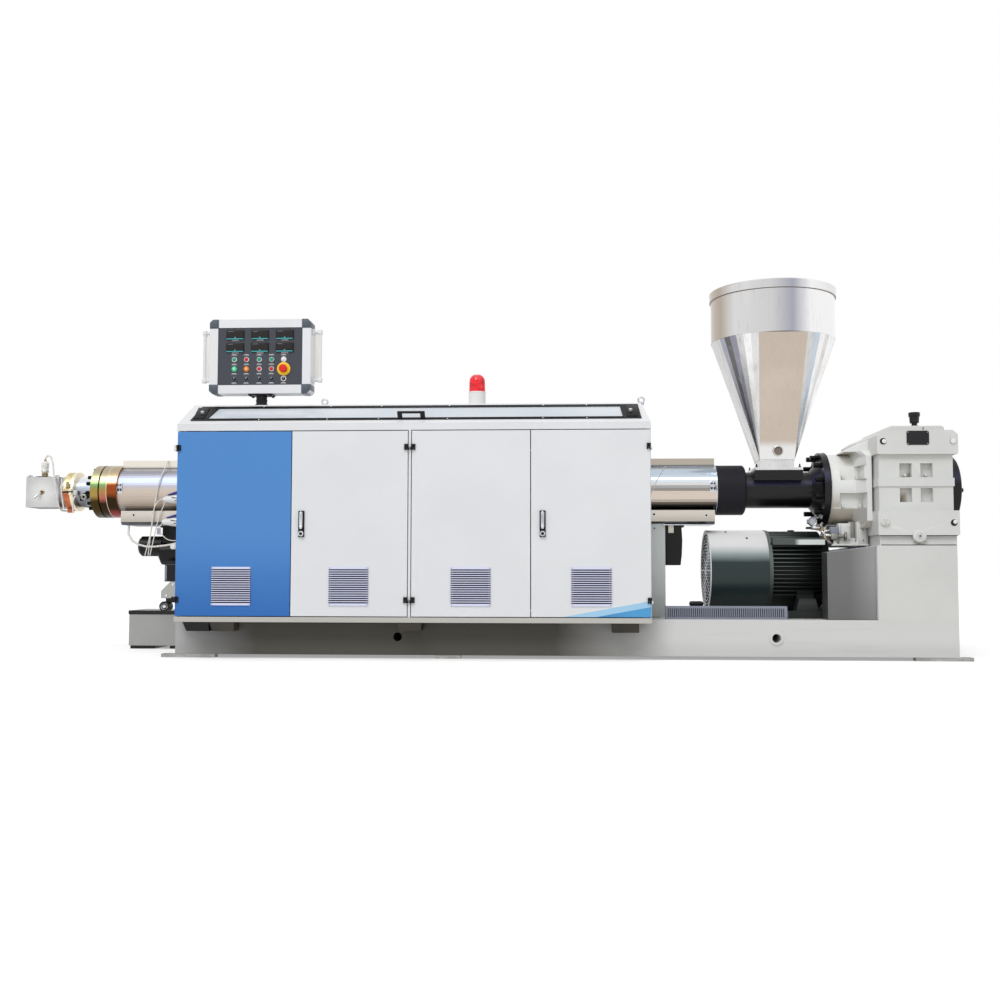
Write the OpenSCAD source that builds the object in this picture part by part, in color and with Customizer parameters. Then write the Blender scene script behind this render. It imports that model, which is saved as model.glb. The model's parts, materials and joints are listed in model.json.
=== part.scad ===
// Conical twin-screw plastic extruder on a welded base: guard cabinet round the barrel,
// feed hopper, gearbox, low drive motor and a swivelling control panel.
// Millimetres. +X runs from the die end to the gearbox end, the doors face -Y, +Z is up.
// The origin is on the floor, under the middle of the overall length.

/* [Main layout] */
// Height of the barrel axis above the floor
axis_z = 1000; // [996:1:1004]
// Distance from the origin to the die face and to the gearbox end cover
half_l = 2886; // [2880:1:2892]

/* [Base] */
// Left end of the welded base
base_x0 = -1801; // [-1810:1:-1795]
// Right end of the welded base
base_x1 = 2692; // [2686:1:2700]
// Width of the base
base_w = 900; // [880:2:920]
// Height of the deck above the floor
deck_z = 229; // [226:1:229]
// Thickness of the floor pads
pad_t = 20; // [16:1:22]
// How far the brackets under the cabinet stand out of the base
outrigger_l = 116; // [110:1:118]
// Depth of the lifting holes
lift_depth = 230; // [120:5:260]
// Height of the gearbox pedestal above the floor
pedestal_z = 653; // [653:1:653]
// Left face of the gearbox pedestal
pedestal_x0 = 2245; // [2235:1:2250]
// Radius of the lifting holes in the long beams
lift_hole_r = 25; // [20:1:30]
// Radius of the anchor holes in the floor pads
anchor_r = 13; // [10:0.5:16]
// Distance of the anchor holes from the middle line
anchor_y = 415; // [410:1:420]
// Inner edge of the floor pads, from the middle line
pad_y0 = 385; // [380:1:390]
// Outer edge of the floor pads, from the middle line
pad_y1 = 445; // [440:1:448]
// Left anchor holes, measured from the origin
anchor_x0 = -1845; // [-1850:1:-1840]
// Right anchor holes, measured from the origin
anchor_x1 = 2732; // [2728:1:2740]

/* [Cabinet] */
// Left end of the cabinet
cab_x0 = -1772; // [-1774:1:-1766]
// Right end of the cabinet
cab_x1 = 962; // [956:1:968]
// Distance from the middle line to the door faces
cab_y = 570; // [560:1:580]
// Underside of the bottom rail
cab_z0 = 211; // [205:1:215]
// Top of the header rail
cab_z1 = 1352; // [1345:1:1360]
// Lower edge of the doors
door_z0 = 246; // [242:1:250]
// Upper edge of the doors
door_z1 = 1308; // [1300:1:1312]
// Height of the flat roof
roof_z = 1487; // [1480:1:1495]
// Distance from the middle line to the edges of the flat roof
roof_y = 400; // [390:1:410]
// How far the roof ends lean in
roof_lean = 45; // [30:1:60]
// Meeting line of doors 1 and 2
seam_12 = -1097; // [-1110:1:-1085]
// Middle of the centre post
post_x = -413; // [-420:1:-405]
// Meeting line of doors 3 and 4
seam_34 = 279; // [270:1:290]
// Thickness of a door
door_t = 22; // [18:1:24]
// Thickness of the door sheet
door_sheet = 3; // [2:0.5:4]
// Air gap round a door
door_gap = 5; // [5:0.5:6]
// Distance from the door faces out to the hinge axes
hinge_out = 9; // [9:0.5:12]
// Radius of the hinge knuckles
knuckle_r = 7; // [6:0.5:7]
// Radius of the hinge pins
hinge_pin_r = 3; // [2.5:0.25:3.5]
// Clearance round a hinge pin
hinge_clear = 0.3; // [0.2:0.05:0.4]

/* [Barrel] */
// Radius of the stainless barrel cover
cover_r = 152; // [148:1:156]
// Left end of the barrel cover
cover_x0 = -2288; // [-2288:1:-2288]
// Right end of the barrel cover
cover_x1 = 1392; // [1385:1:1400]
// Half width of the lower cover trough
trough_y = 150; // [145:1:155]
// Underside of the lower cover trough
trough_z = 786; // [780:1:792]
// Radius of the die-end flanges
flange_r = 164; // [158:1:170]
// Radius of the feed barrel
feed_r = 110; // [105:1:115]
// Radius of the gearbox flange
gear_flange_r = 226; // [220:1:232]
// Radius of the round front of the gearbox bell
bell_r = 214; // [210:1:217]
// Half height of the die block
die_h = 88; // [84:1:92]
// Radius of the die block's outlet bore
outlet_r = 30; // [24:1:36]

/* [Hopper] */
// Middle of the hopper
hop_x = 1756; // [1750:1:1762]
// Radius of the round hopper shell
hop_r = 373; // [365:1:378]
// Lower edge of the hopper
hop_z0 = 1180; // [1180:1:1180]
// Top of the lid
hop_z3 = 2220; // [2215:1:2230]
// Height of the lid above the shell
lid_h = 47; // [40:1:54]
// Height of the round shell
drum_h = 263; // [250:1:272]
// Half width of the square hopper outlet
hop_sq = 104; // [100:1:108]
// Sheet thickness of the hopper
hop_t = 4; // [3:0.5:5]

/* [Control panel] */
// Middle of the panel and of its swivel
pan_x = -1333; // [-1340:1:-1326]
// Distance from the middle line to the swivel axis
pan_y = 360; // [350:1:362]
// Width of the panel
pan_w = 608; // [590:2:620]
// Underside of the panel
pan_z0 = 1555; // [1550:1:1558]
// Top of the panel
pan_z1 = 1999; // [1990:1:2005]
// Depth of the panel box
pan_d = 110; // [100:2:120]

/* [Hidden] */
$fn = 64;

door_y0 = -cab_y;
door_y1 = -cab_y + door_t;
frame_y = -cab_y + door_t + door_gap;
hinge_y = -cab_y - hinge_out;
strip_w = 14;
hop_z2 = hop_z3 - lid_h;
hop_z1 = hop_z2 - drum_h;
door_x = [
    [cab_x0 + door_gap, seam_12 - door_gap / 2],
    [seam_12 + door_gap / 2, post_x - strip_w / 2 - door_gap],
    [post_x + strip_w / 2 + door_gap, seam_34 - door_gap / 2],
    [seam_34 + door_gap / 2, cab_x1 - door_gap]
];
hinge_x = [door_x[0][0] + 3, door_x[1][1] - 3, door_x[2][0] + 3, door_x[3][1] - 3];
hinge_side = [1, -1, 1, -1];
hinge_z = [339, 1214];
vent_x = [-1441, -761, -62, 622];
vent_w = 226;
vent_z0 = 307;
vent_z1 = 527;
vent_slots = 16;
slope_a = atan2(roof_z - cab_z1, cab_y - roof_y);
motor_z = 510;
motor_r = 244;
gear_x0 = 2263;
gear_x1 = 2720;
plate_z = 9;

// Boxes and cylinders given by their limits
module span(x0, x1, y0, y1, z0, z1) {
    translate([x0, y0, z0]) cube([x1 - x0, y1 - y0, z1 - z0]);
}

module rod_x(x0, x1, y, z, r) {
    translate([x0, y, z]) rotate([0, 90, 0]) cylinder(r = r, h = x1 - x0);
}

module rod_y(x, y0, y1, z, r) {
    translate([x, y0, z]) rotate([-90, 0, 0]) cylinder(r = r, h = y1 - y0);
}

module rod_z(x, y, z0, z1, r) {
    translate([x, y, z0]) cylinder(r = r, h = z1 - z0);
}

// Extrudes an outline given in X and Z from y0 to y1
module slab_y(y0, y1, pts) {
    translate([0, y1, 0]) rotate([90, 0, 0]) linear_extrude(height = y1 - y0) polygon(pts);
}

// Extrudes an outline given in Y and Z from x0 to x1
module slab_x(x0, x1, pts) {
    translate([x0, 0, 0]) rotate([90, 0, 90]) linear_extrude(height = x1 - x0) polygon(pts);
}

module both_sides() {
    children();
    mirror([0, 1, 0]) children();
}

// Base

module base_frame() {
    color([0.55, 0.56, 0.56]) difference() {
        union() {
            span(base_x0, base_x1, -base_w / 2, base_w / 2, pad_t, deck_z);
            both_sides() rod_y(1673, -base_w / 2 - 6, -base_w / 2 + 1, 125, 40);
        }
        for (x = [-494, 1673])
            both_sides() rod_y(x, -base_w / 2 - 7, -base_w / 2 + lift_depth, 125, lift_hole_r);
    }
}

module pedestal() {
    color([0.55, 0.56, 0.56]) difference() {
        union() {
            span(pedestal_x0, base_x1, -base_w / 2, base_w / 2, deck_z, pedestal_z);
            slab_y(-430, 430, [
                [1968, deck_z], [pedestal_x0 + 1, deck_z],
                [pedestal_x0 + 1, pedestal_z - 2], [1968, pedestal_z - 38]
            ]);
        }
        span(1960, 2052, -290, 290, deck_z - 1, pedestal_z);
    }
}

module foot_pads() {
    color([0.3, 0.31, 0.31]) both_sides() difference() {
        union() {
            span(-1885, -1567, -pad_y1, -pad_y0, 0, pad_t);
            span(-276, -129, -pad_y1, -pad_y0, 0, pad_t);
            span(2451, 2772, -pad_y1, -pad_y0, 0, pad_t);
        }
        for (x = [anchor_x0, anchor_x1]) rod_z(x, -anchor_y, -1, pad_t + 1, anchor_r);
    }
}

module outriggers() {
    color([0.12, 0.12, 0.13]) both_sides()
        for (b = [[-1722, -1568, 24, 0], [-1566, -1422, 20, 0], [-481, -344, 14, 8], [739, 889, 0, 0]])
            slab_y(-base_w / 2 - outrigger_l, -base_w / 2, [
                [b[0], cab_z0], [b[1], cab_z0], [b[1], cab_z0 - 52 + b[3]], [b[0] + b[2], cab_z0 - 52]
            ]);
}

module oil_unit() {
    color([0.62, 0.63, 0.64]) span(-2347, base_x0, 250, 560, pad_t, 222);
}

module oil_unit_lid() {
    color([0.12, 0.12, 0.13]) {
        span(-2351, base_x0 - 4, 246, 564, 222, 247);
        span(-2340, -2180, 260, 550, 0, pad_t);
        span(-2080, -1910, 260, 550, 0, pad_t);
    }
}

module cable_duct() {
    color([0.6, 0.61, 0.62]) difference() {
        span(1056, 1749, -base_w / 2 + 70, -base_w / 2 + 140, deck_z, 304);
        for (x = [1066:12:1736])
            span(x, x + 5.5, -base_w / 2 + 69, -base_w / 2 + 100, 240, 292);
    }
}

// Drive motor

module motor_body() {
    color([0.16, 0.2, 0.19]) {
        rod_x(1681, 1700, 0, motor_z, motor_r);
        rod_x(1700, 2000, 0, motor_z, 206);
        rod_x(2000, 2040, 0, motor_z, 206);
        intersection() {
            rod_x(1699, 2001, 0, motor_z, motor_r - 6);
            union() {
                for (k = [-6:6])
                    span(1699, 2001, -motor_r, motor_r, motor_z + k * 24 - 3, motor_z + k * 24 + 3);
                for (k = [-5:5])
                    span(1699, 2001, k * 24 - 3, k * 24 + 3, motor_z - motor_r, motor_z + motor_r);
            }
        }
        span(1699, 2001, -motor_r + 5, -180, 662, 703);
        both_sides() {
            slab_y(-250, -150, [[1826, 273], [1958, 273], [1940, 345], [1844, 345]]);
            span(1844, 1940, -190, -150, 344, 410);
            span(1779, 2006, -260, -180, deck_z, 274);
        }
    }
}

module motor_cowl() {
    color([0.2, 0.24, 0.23]) difference() {
        union() {
            difference() {
                rod_x(1334, 1681, 0, motor_z, motor_r);
                rod_x(1340, 1682, 0, motor_z, motor_r - 5);
            }
            rod_x(1334, 1340, 0, motor_z, 60);
        }
        for (r = [70:20:210])
            difference() {
                rod_x(1333, 1341, 0, motor_z, r + 12);
                rod_x(1332, 1342, 0, motor_z, r);
                for (a = [0:45:135])
                    translate([1330, 0, motor_z]) rotate([a, 0, 0]) translate([0, -260, -6])
                        cube([14, 520, 12]);
            }
    }
}

// Gearbox

module gearbox_housing() {
    color([0.86, 0.85, 0.8]) difference() {
        union() {
            span(2275, 2708, -400, 400, pedestal_z, 713);
            span(gear_x0, gear_x1, -420, 420, 712, 853);
            span(2277, 2695, -395, 395, 852, 1178);
            span(2271, 2701, -402, 402, 993, 1041);
            slab_y(-420, 420, [
                [gear_x0, 1177], [gear_x1, 1177], [gear_x1, 1290], [2690, 1315],
                [2300, 1315], [gear_x0, 1290]
            ]);
            rod_y(2300, -428, -419, 789, 26);
            rod_y(2492, -424, -399, 707, 38);
        }
        for (x = [2394, 2512], z = [903, 1046])
            both_sides() span(x, x + 69, -396, -360, z, z + 80);
        for (x = [2298, 2692]) both_sides() rod_y(x, -421, -380, 1251, 20);
        both_sides() rod_y(2687, -421, -380, 783, 20);
    }
}

module gearbox_bell() {
    color([0.86, 0.85, 0.8]) difference() {
        union() {
            rod_x(2051, 2206, 0, axis_z, bell_r);
            translate([2206, 0, axis_z]) rotate([0, 90, 0]) cylinder(r1 = bell_r, r2 = bell_r - 24, h = 24);
            slab_x(2190, gear_x0, [
                [-300, 800], [-262, 762], [262, 762], [300, 800],
                [300, 1180], [262, 1215], [-262, 1215], [-300, 1180]
            ]);
            slab_y(-230, 230, [[2120, 1210], [gear_x0, 1210], [gear_x0, 1282]]);
        }
        both_sides() span(2106, 2221, -301, -180, 1046, 1124);
        both_sides() span(2101, 2236, -301, -180, 879, 966);
    }
}

module gearbox_covers() {
    color([0.84, 0.83, 0.79]) {
        slab_y(-300, 300, [[2352, 1315], [2561, 1315], [2561, 1356], [2374, 1356]]);
        slab_y(-300, 300, [[2567, 1315], [2684, 1315], [2684, 1343], [2671, 1356], [2567, 1356]]);
    }
}

module gearbox_end_cover() {
    color([0.25, 0.25, 0.26]) {
        rod_x(gear_x1, 2806, 0, axis_z - 2, 205);
        translate([2806, 0, axis_z - 2]) rotate([0, 90, 0]) cylinder(r1 = 205, r2 = 199, h = 6);
        rod_x(2811, 2838, 0, axis_z - 2, 126);
        rod_x(2837, 2862, 0, axis_z - 2, 56);
        rod_x(2861, half_l, 0, axis_z - 2, 13);
    }
}

module breather() {
    color([0.1, 0.1, 0.1]) {
        rod_z(2531, -240, 1356, 1378, 16);
        translate([2531, -240, 1377]) cylinder(r1 = 26, r2 = 29, h = 42);
        rod_z(2531, -240, 1416, 1440, 33);
    }
}

module gearbox_flange() {
    color([0.13, 0.13, 0.14]) {
        rod_x(2011, 2051, 0, axis_z, gear_flange_r);
        for (a = [15:30:345])
            rod_x(1962, 2012, 198 * cos(a), axis_z + 198 * sin(a), 12);
    }
}

// Feed section and hopper

module feed_barrel() {
    color([0.14, 0.14, 0.15]) difference() {
        union() {
            rod_x(cover_x1, 1557, 0, axis_z, cover_r);
            translate([1556, 0, axis_z]) rotate([0, 90, 0]) cylinder(r1 = cover_r, r2 = cover_r - 10, h = 10);
            rod_x(1564, 2011, 0, axis_z, feed_r);
            translate([1960, 0, axis_z]) rotate([0, 90, 0]) cylinder(r1 = feed_r, r2 = 165, h = 51);
            span(hop_x - 144, hop_x + 144, -145, 145, 1051, 1112);
        }
        span(hop_x - 75, hop_x + 75, -75, 75, 1060, 1113);
    }
}

module hopper_base() {
    color([0.72, 0.72, 0.72]) difference() {
        union() {
            span(hop_x - 139, hop_x + 139, -139, 139, 1112, 1129);
            span(hop_x - 100, hop_x + 100, -100, 100, 1128, hop_z0);
        }
        span(hop_x - 75, hop_x + 75, -75, 75, 1111, hop_z0 + 1);
    }
}

// Square-to-round body of the hopper, shrunk by t
module transition(t) {
    hull() {
        translate([0, 0, hop_z1 - 6]) cylinder(r = hop_r - t, h = 6, $fn = 72);
        translate([0, 0, hop_z1 - 62]) linear_extrude(height = 2) intersection() {
            square(2 * (340 - t), center = true);
            circle(r = 365 - t, $fn = 72);
        }
        translate([0, 0, hop_z0]) linear_extrude(height = 1) square(2 * (hop_sq - t), center = true);
    }
}

module hopper() {
    color([0.78, 0.77, 0.75]) translate([hop_x, 0, 0]) {
        difference() {
            transition(0);
            transition(hop_t);
        }
        difference() {
            rod_z(0, 0, hop_z1 - 1, hop_z2, hop_r);
            rod_z(0, 0, hop_z1 - 2, hop_z2 + 1, hop_r - hop_t);
        }
        translate([0, -118, 1228]) rotate([90, 0, 0]) difference() {
            translate([0, 0, -4]) cylinder(r = 31, h = 24);
            cylinder(r = 25, h = 21);
        }
    }
}

module hopper_lid() {
    color([0.8, 0.79, 0.77]) {
        difference() {
            rod_z(hop_x, 0, hop_z2 - 6, hop_z3, hop_r + 8);
            rod_z(hop_x, 0, hop_z2 - 7, hop_z2, hop_r);
        }
    }
}

// Barrel

module barrel_cover() {
    color([0.8, 0.8, 0.81]) {
        rod_x(cover_x0, cover_x1, 0, axis_z, cover_r);
        span(cover_x0, cover_x1 - 8, -55, 55, axis_z + 130, axis_z + 192);
        slab_x(cover_x0 + 29, cover_x1 - 19, [
            [-trough_y, 872], [-trough_y, 804], [-trough_y + 18, trough_z],
            [trough_y - 18, trough_z], [trough_y, 804], [trough_y, 872]
        ]);
    }
}

// Cooling blower hung under the barrel, right end of its duct at x
module blower(x, w, motor) {
    rod_x(x - w + 28, x, -60, 613, 72);
    translate([x - w, -60, 613]) rotate([0, 90, 0]) cylinder(r1 = 24, r2 = 72, h = 28.5);
    span(x - min(w, 88), x, -110, -10, 675, trough_z - 16);
    span(x - w + 30, x + 20, -120, 0, trough_z - 16, trough_z);
    if (motor) {
        rod_x(x - w - 101, x - w + 34, -60, 656, 62);
        translate([x - w - 113, -60, 656]) rotate([0, 90, 0]) cylinder(r1 = 50, r2 = 62, h = 12.5);
    }
}

module blowers() {
    color([0.1, 0.1, 0.11]) {
        blower(-1921, 128, true);
        blower(-1000, 134, true);
        blower(150, 134, true);
        blower(1172, 94, false);
    }
}

module die_flanges() {
    color([0.72, 0.7, 0.45]) difference() {
        union() {
            rod_x(-2453, -2349, 0, axis_z, flange_r);
            for (a = [8:45:353])
                rod_x(-2486, -2452, 136 * cos(a), axis_z + 136 * sin(a), 11);
        }
        difference() {
            rod_x(-2403, -2399, 0, axis_z, flange_r + 2);
            rod_x(-2404, -2398, 0, axis_z, flange_r - 6);
        }
    }
}

module retainer_ring() {
    color([0.72, 0.5, 0.38]) rod_x(-2349, cover_x0, 0, axis_z, flange_r);
}

module adapter() {
    color([0.7, 0.7, 0.7]) {
        translate([-2580, 0, axis_z]) rotate([0, 90, 0]) cylinder(r1 = 96, r2 = 108, h = 127);
        rod_y(-2500, -122, -80, 968, 20);
    }
}

module heater_clamp() {
    color([0.75, 0.68, 0.4]) difference() {
        union() {
            rod_x(-2640, -2580, 0, axis_z, 122);
            span(-2636, -2584, -134, -100, axis_z - 26, axis_z + 12);
            span(-2636, -2610, -62, -28, 866, 892);
        }
        span(-2641, -2579, -135, -112, axis_z - 11, axis_z - 4);
    }
}

module die_block() {
    color([0.7, 0.71, 0.72]) difference() {
        union() {
            span(-half_l, -2677, -100, 100, axis_z - die_h - 14, axis_z + die_h);
            rod_x(-2678, -2640, 0, axis_z, 94);
        }
        rod_x(-half_l - 1, -half_l + 80, 0, axis_z, outlet_r);
        rod_y(-2783, -101, -70, axis_z - 8, 14);
        for (y = [-60, 60], z = [-60, 60]) rod_x(-half_l - 1, -half_l + 30, y, axis_z + z, 8);
    }
}

module sensor_plug() {
    color([0.9, 0.89, 0.86]) {
        span(-2807, -2773, -77, -43, axis_z + die_h, 1118);
        rod_z(-2786, -60, 1118, 1190, 22);
    }
}

// Round lead through a list of points
module lead(pts, r) {
    for (i = [0:len(pts) - 2]) {
        d = pts[i + 1] - pts[i];
        translate(pts[i]) rotate([0, acos(d[2] / norm(d)), atan2(d[1], d[0])])
            cylinder(r = r, h = norm(d), $fn = 24);
        if (i > 0) translate(pts[i]) sphere(r = r + 0.4, $fn = 24);
    }
}

module heater_leads() {
    color([0.85, 0.85, 0.84]) {
        lead([
            [-2786, -60, 1190], [-2786, -60, 1208], [-2768, -66, 1226], [-2742, -78, 1216],
            [-2722, -92, 1170], [-2706, -112, 1100], [-2690, -122, 1040], [-2676, -126, 960],
            [-2668, -112, 900], [-2664, -80, 878], [-2654, -45, 878], [-2636, -45, 878]
        ], 5);
        lead([
            [-2219, -120, trough_z], [-2219, -120, 768], [-2206, -158, 730], [-2180, -165, 690],
            [-2140, -165, 664], [-2090, -165, 652], [-2030, -165, 652], [-1960, -165, 660],
            [-1880, -165, 676], [-1810, -165, 690], [cab_x0, -165, 690]
        ], 6);
    }
}

module terminal_blocks() {
    color([0.93, 0.93, 0.92]) difference() {
        union() {
            rod_x(-1990, -1800, -158, 942, 28);
            rod_x(-1990, -1800, -172, 802, 27);
        }
        rod_x(-2030, -1790, 0, axis_z, cover_r);
        slab_x(-2030, -1790, [[-trough_y, 872], [-trough_y, 700], [0, 700], [0, 872]]);
    }
}

module wall_bracket() {
    color([0.6, 0.61, 0.62]) slab_y(-190, -110, [
        [-1984, 337], [cab_x0, 337], [cab_x0, 438], [-1928, 438], [-1984, 382]
    ]);
}

module wall_column() {
    color([0.12, 0.12, 0.13]) {
        span(-1967, -1890, -180, -120, 438, 541);
        difference() {
            union() {
                span(-1955, -1862, -185, -115, 312, 337);
                rod_y(-1961, -195, -120, 287, 31);
            }
            rod_y(-1961, -196, -150, 287, 12);
        }
    }
}

// Cabinet

module cabinet_frame() {
    color([0.82, 0.83, 0.85]) {
        both_sides() {
            span(cab_x0, cab_x1, -cab_y, -cab_y + 50, cab_z0, door_z0 - door_gap);
            span(cab_x0, cab_x1, -cab_y, -cab_y + 50, door_z1 + door_gap, cab_z1);
            span(cab_x0, cab_x0 + 50, frame_y, frame_y + 50, cab_z0, cab_z1);
            span(cab_x1 - 50, cab_x1, frame_y, frame_y + 50, cab_z0, cab_z1);
            span(post_x - 35, post_x + 35, frame_y, frame_y + 50, cab_z0, cab_z1);
            span(post_x - strip_w / 2, post_x + strip_w / 2, -cab_y, frame_y + 1, cab_z0, cab_z1);
        }
        for (x = [cab_x0, cab_x1 - 4]) difference() {
            span(x, x + 4, frame_y, -frame_y, deck_z, cab_z1);
            span(x - 1, x + 5, -175, 175, 765, 1215);
        }
        span(cab_x0, cab_x1, -cab_y + 49, cab_y - 49, deck_z, deck_z + 4);
    }
}

module roof_solid(t) {
    intersection() {
        slab_x(cab_x0, cab_x1, [
            [-cab_y + t, cab_z1], [cab_y - t, cab_z1], [roof_y - t / 2, roof_z - t],
            [-roof_y + t / 2, roof_z - t]
        ]);
        slab_y(-cab_y, cab_y, [
            [cab_x0 + t, cab_z1], [cab_x1 - t, cab_z1],
            [cab_x1 - roof_lean - t, roof_z - t], [cab_x0 + roof_lean + t, roof_z - t]
        ]);
    }
}

// Places its children on the front slope: X along the machine, Y up the slope, Z out of it
module on_slope() {
    translate([0, -cab_y, cab_z1]) rotate([slope_a, 0, 0]) children();
}

module window_cut(d, z0, z1) {
    on_slope() translate([0, 0, z0]) linear_extrude(height = z1 - z0) polygon([
        [-1608 - d, 50 - d], [806 + d, 50 - d], [794 + d, 172 + d], [-1566 - d, 172 + d]
    ]);
}

module cabinet_roof() {
    color([0.82, 0.83, 0.85]) difference() {
        roof_solid(0);
        translate([0, 0, -0.01]) roof_solid(5);
        window_cut(0, -20, 10);
    }
}

module window_frame() {
    color([0.12, 0.12, 0.13]) difference() {
        on_slope() linear_extrude(height = 6) polygon([
            [-1704, 36], [912, 36], [898, 192], [-1672, 192]
        ]);
        window_cut(0, -1, 7);
    }
}

module window_pane() {
    color([0.75, 0.82, 0.85, 0.5]) intersection() {
        window_cut(0, -3.5, 0);
        slab_x(cab_x0, cab_x1, [
            [-cab_y, cab_z1], [cab_y, cab_z1], [roof_y, roof_z], [-roof_y, roof_z]
        ]);
    }
}

module window_handle() {
    color([0.1, 0.1, 0.1]) on_slope() translate([-409, 0, 0]) {
        for (s = [-1, 1]) translate([s * 66 - 14, 40, s > 0 ? 6 : 6]) cube([28, 12, 36]);
        translate([-80, 40, 38]) cube([160, 12, 14]);
    }
}

module rear_panels() {
    color([0.82, 0.83, 0.85]) mirror([0, 1, 0]) for (i = [0:3]) difference() {
        span(door_x[i][0], door_x[i][1], door_y0, frame_y, door_z0, door_z1);
        span(door_x[i][0] + door_sheet, door_x[i][1] - door_sheet,
            door_y0 + door_sheet, frame_y + 1, door_z0 + door_sheet, door_z1 - door_sheet);
    }
}

module mounting_plate() {
    color([0.8, 0.8, 0.78]) {
        span(cab_x0 + 120, post_x - 60, -250, -246, 420, 760);
        span(cab_x0 + 200, cab_x0 + 240, -246, -216, deck_z + 4, 760);
        span(post_x - 180, post_x - 140, -246, -216, deck_z + 4, 760);
    }
}

module barrel_supports() {
    color([0.5, 0.51, 0.52]) {
        for (x = [-1600, -300]) {
            span(x, x + 90, -130, 130, deck_z + 4, deck_z + 20);
            span(x + 30, x + 60, -110, 110, deck_z + 20, trough_z - 14);
            span(x, x + 90, -130, 130, trough_z - 14, trough_z);
        }
        span(998, 1046, -130, 130, deck_z, trough_z);
    }
}

// Fixed half of the door hinges, with the pins, and the handles of the rear panels
module fixed_fittings() {
    color([0.08, 0.08, 0.08]) for (z = hinge_z) {
        for (i = [0:3]) {
            rod_z(hinge_x[i], hinge_y, z - 17, z, knuckle_r);
            rod_z(hinge_x[i], hinge_y, z - 1, z + 16, hinge_pin_r);
        }
        span(cab_x0 - 12, hinge_x[0], hinge_y - 4, hinge_y + 3, z - 17, z);
        span(cab_x0 - 12, cab_x0, hinge_y - 4, frame_y + 30, z - 17, z);
        span(cab_x0 - 12, hinge_x[0] - knuckle_r - 2, hinge_y - 4, hinge_y + 3, z - 1, z + 17);
        span(hinge_x[3], cab_x1 + 6, hinge_y - 4, hinge_y + 3, z - 17, z);
        span(cab_x1, cab_x1 + 6, hinge_y - 4, frame_y + 30, z - 17, z);
        span(hinge_x[1], post_x - 3, hinge_y - 4, hinge_y + 3, z - 17, z);
        span(post_x + 3, hinge_x[2], hinge_y - 4, hinge_y + 3, z - 17, z);
        span(post_x - strip_w / 2, post_x - 3, hinge_y - 4, -cab_y, z - 17, z);
        span(post_x + 3, post_x + strip_w / 2, hinge_y - 4, -cab_y, z - 17, z);
    }
    color([0.08, 0.08, 0.08]) mirror([0, 1, 0]) for (x = [-1036, 347]) swing_handle(x);
}

// Doors

module door_panel(i) {
    difference() {
        span(door_x[i][0], door_x[i][1], door_y0, door_y1, door_z0, door_z1);
        span(door_x[i][0] + door_sheet, door_x[i][1] - door_sheet,
            door_y0 + door_sheet, door_y1 + 1, door_z0 + door_sheet, door_z1 - door_sheet);
        span(vent_x[i] - vent_w / 2 + 12, vent_x[i] + vent_w / 2 - 12,
            door_y0 - 1, door_y1, vent_z0 + 12, vent_z1 - 12);
    }
}

module door_1() { color([0.25, 0.52, 0.78]) door_panel(0); }

module door_2() { color([0.86, 0.87, 0.89]) door_panel(1); }

module door_3() { color([0.86, 0.87, 0.89]) door_panel(2); }

module door_4() { color([0.86, 0.87, 0.89]) door_panel(3); }

// Vent grille of door i: a framed plate with sloping slots
module vent(i) {
    pitch = (vent_z1 - vent_z0 - 20) / vent_slots;
    difference() {
        span(vent_x[i] - vent_w / 2, vent_x[i] + vent_w / 2, door_y0 - 6, door_y0, vent_z0, vent_z1);
        for (k = [0:vent_slots - 1])
            translate([vent_x[i] - vent_w / 2 + 10, door_y0 - 8, vent_z0 + 10 + (k + 0.5) * pitch - 2.7])
                cube([vent_w - 20, 10, 5.4]);
    }
}

module vent_1() { color([0.72, 0.72, 0.78]) vent(0); }

module vent_2() { color([0.72, 0.72, 0.78]) vent(1); }

module vent_3() { color([0.72, 0.72, 0.78]) vent(2); }

module vent_4() { color([0.72, 0.72, 0.78]) vent(3); }

// Door half of the hinges of door i
module knuckles(i) {
    for (z = hinge_z) difference() {
        union() {
            rod_z(hinge_x[i], hinge_y, z + 0.5, z + 17, knuckle_r);
            span(min(hinge_x[i], hinge_x[i] + hinge_side[i] * 17),
                max(hinge_x[i], hinge_x[i] + hinge_side[i] * 17),
                -cab_y - 3, -cab_y, z + 0.5, z + 17);
        }
        rod_z(hinge_x[i], hinge_y, z, z + 18, hinge_pin_r + hinge_clear);
    }
    for (z = hinge_z) {
        a = hinge_x[i] + hinge_side[i] * 9;
        b = hinge_x[i] + hinge_side[i] * 17;
        span(min(a, b), max(a, b), -cab_y - 8, -cab_y, z - 17, z + 17);
    }
}

// Swing handle near the free edge, centred on x
module swing_handle(x) {
    span(x - 17, x + 17, -cab_y - 8, -cab_y, 698, 848);
    span(x - 10, x + 10, -cab_y - 18, -cab_y - 8, 738, 840);
    rod_y(x, -cab_y - 14, -cab_y - 7, 717, 14);
}

module fittings_1() { color([0.08, 0.08, 0.08]) knuckles(0); }

module fittings_2() {
    color([0.08, 0.08, 0.08]) {
        knuckles(1);
        swing_handle(-1036);
    }
}

module fittings_3() { color([0.08, 0.08, 0.08]) knuckles(2); }

module fittings_4() {
    color([0.08, 0.08, 0.08]) {
        knuckles(3);
        swing_handle(347);
    }
}

// Control panel

module panel_foot() {
    color([0.1, 0.1, 0.1]) {
        rod_z(pan_x, -pan_y, roof_z, roof_z + 8, 38);
        rod_z(pan_x, -pan_y, roof_z, roof_z + 27, 32);
        rod_z(pan_x, -pan_y, roof_z + 26, roof_z + 42, 12);
    }
}

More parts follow.
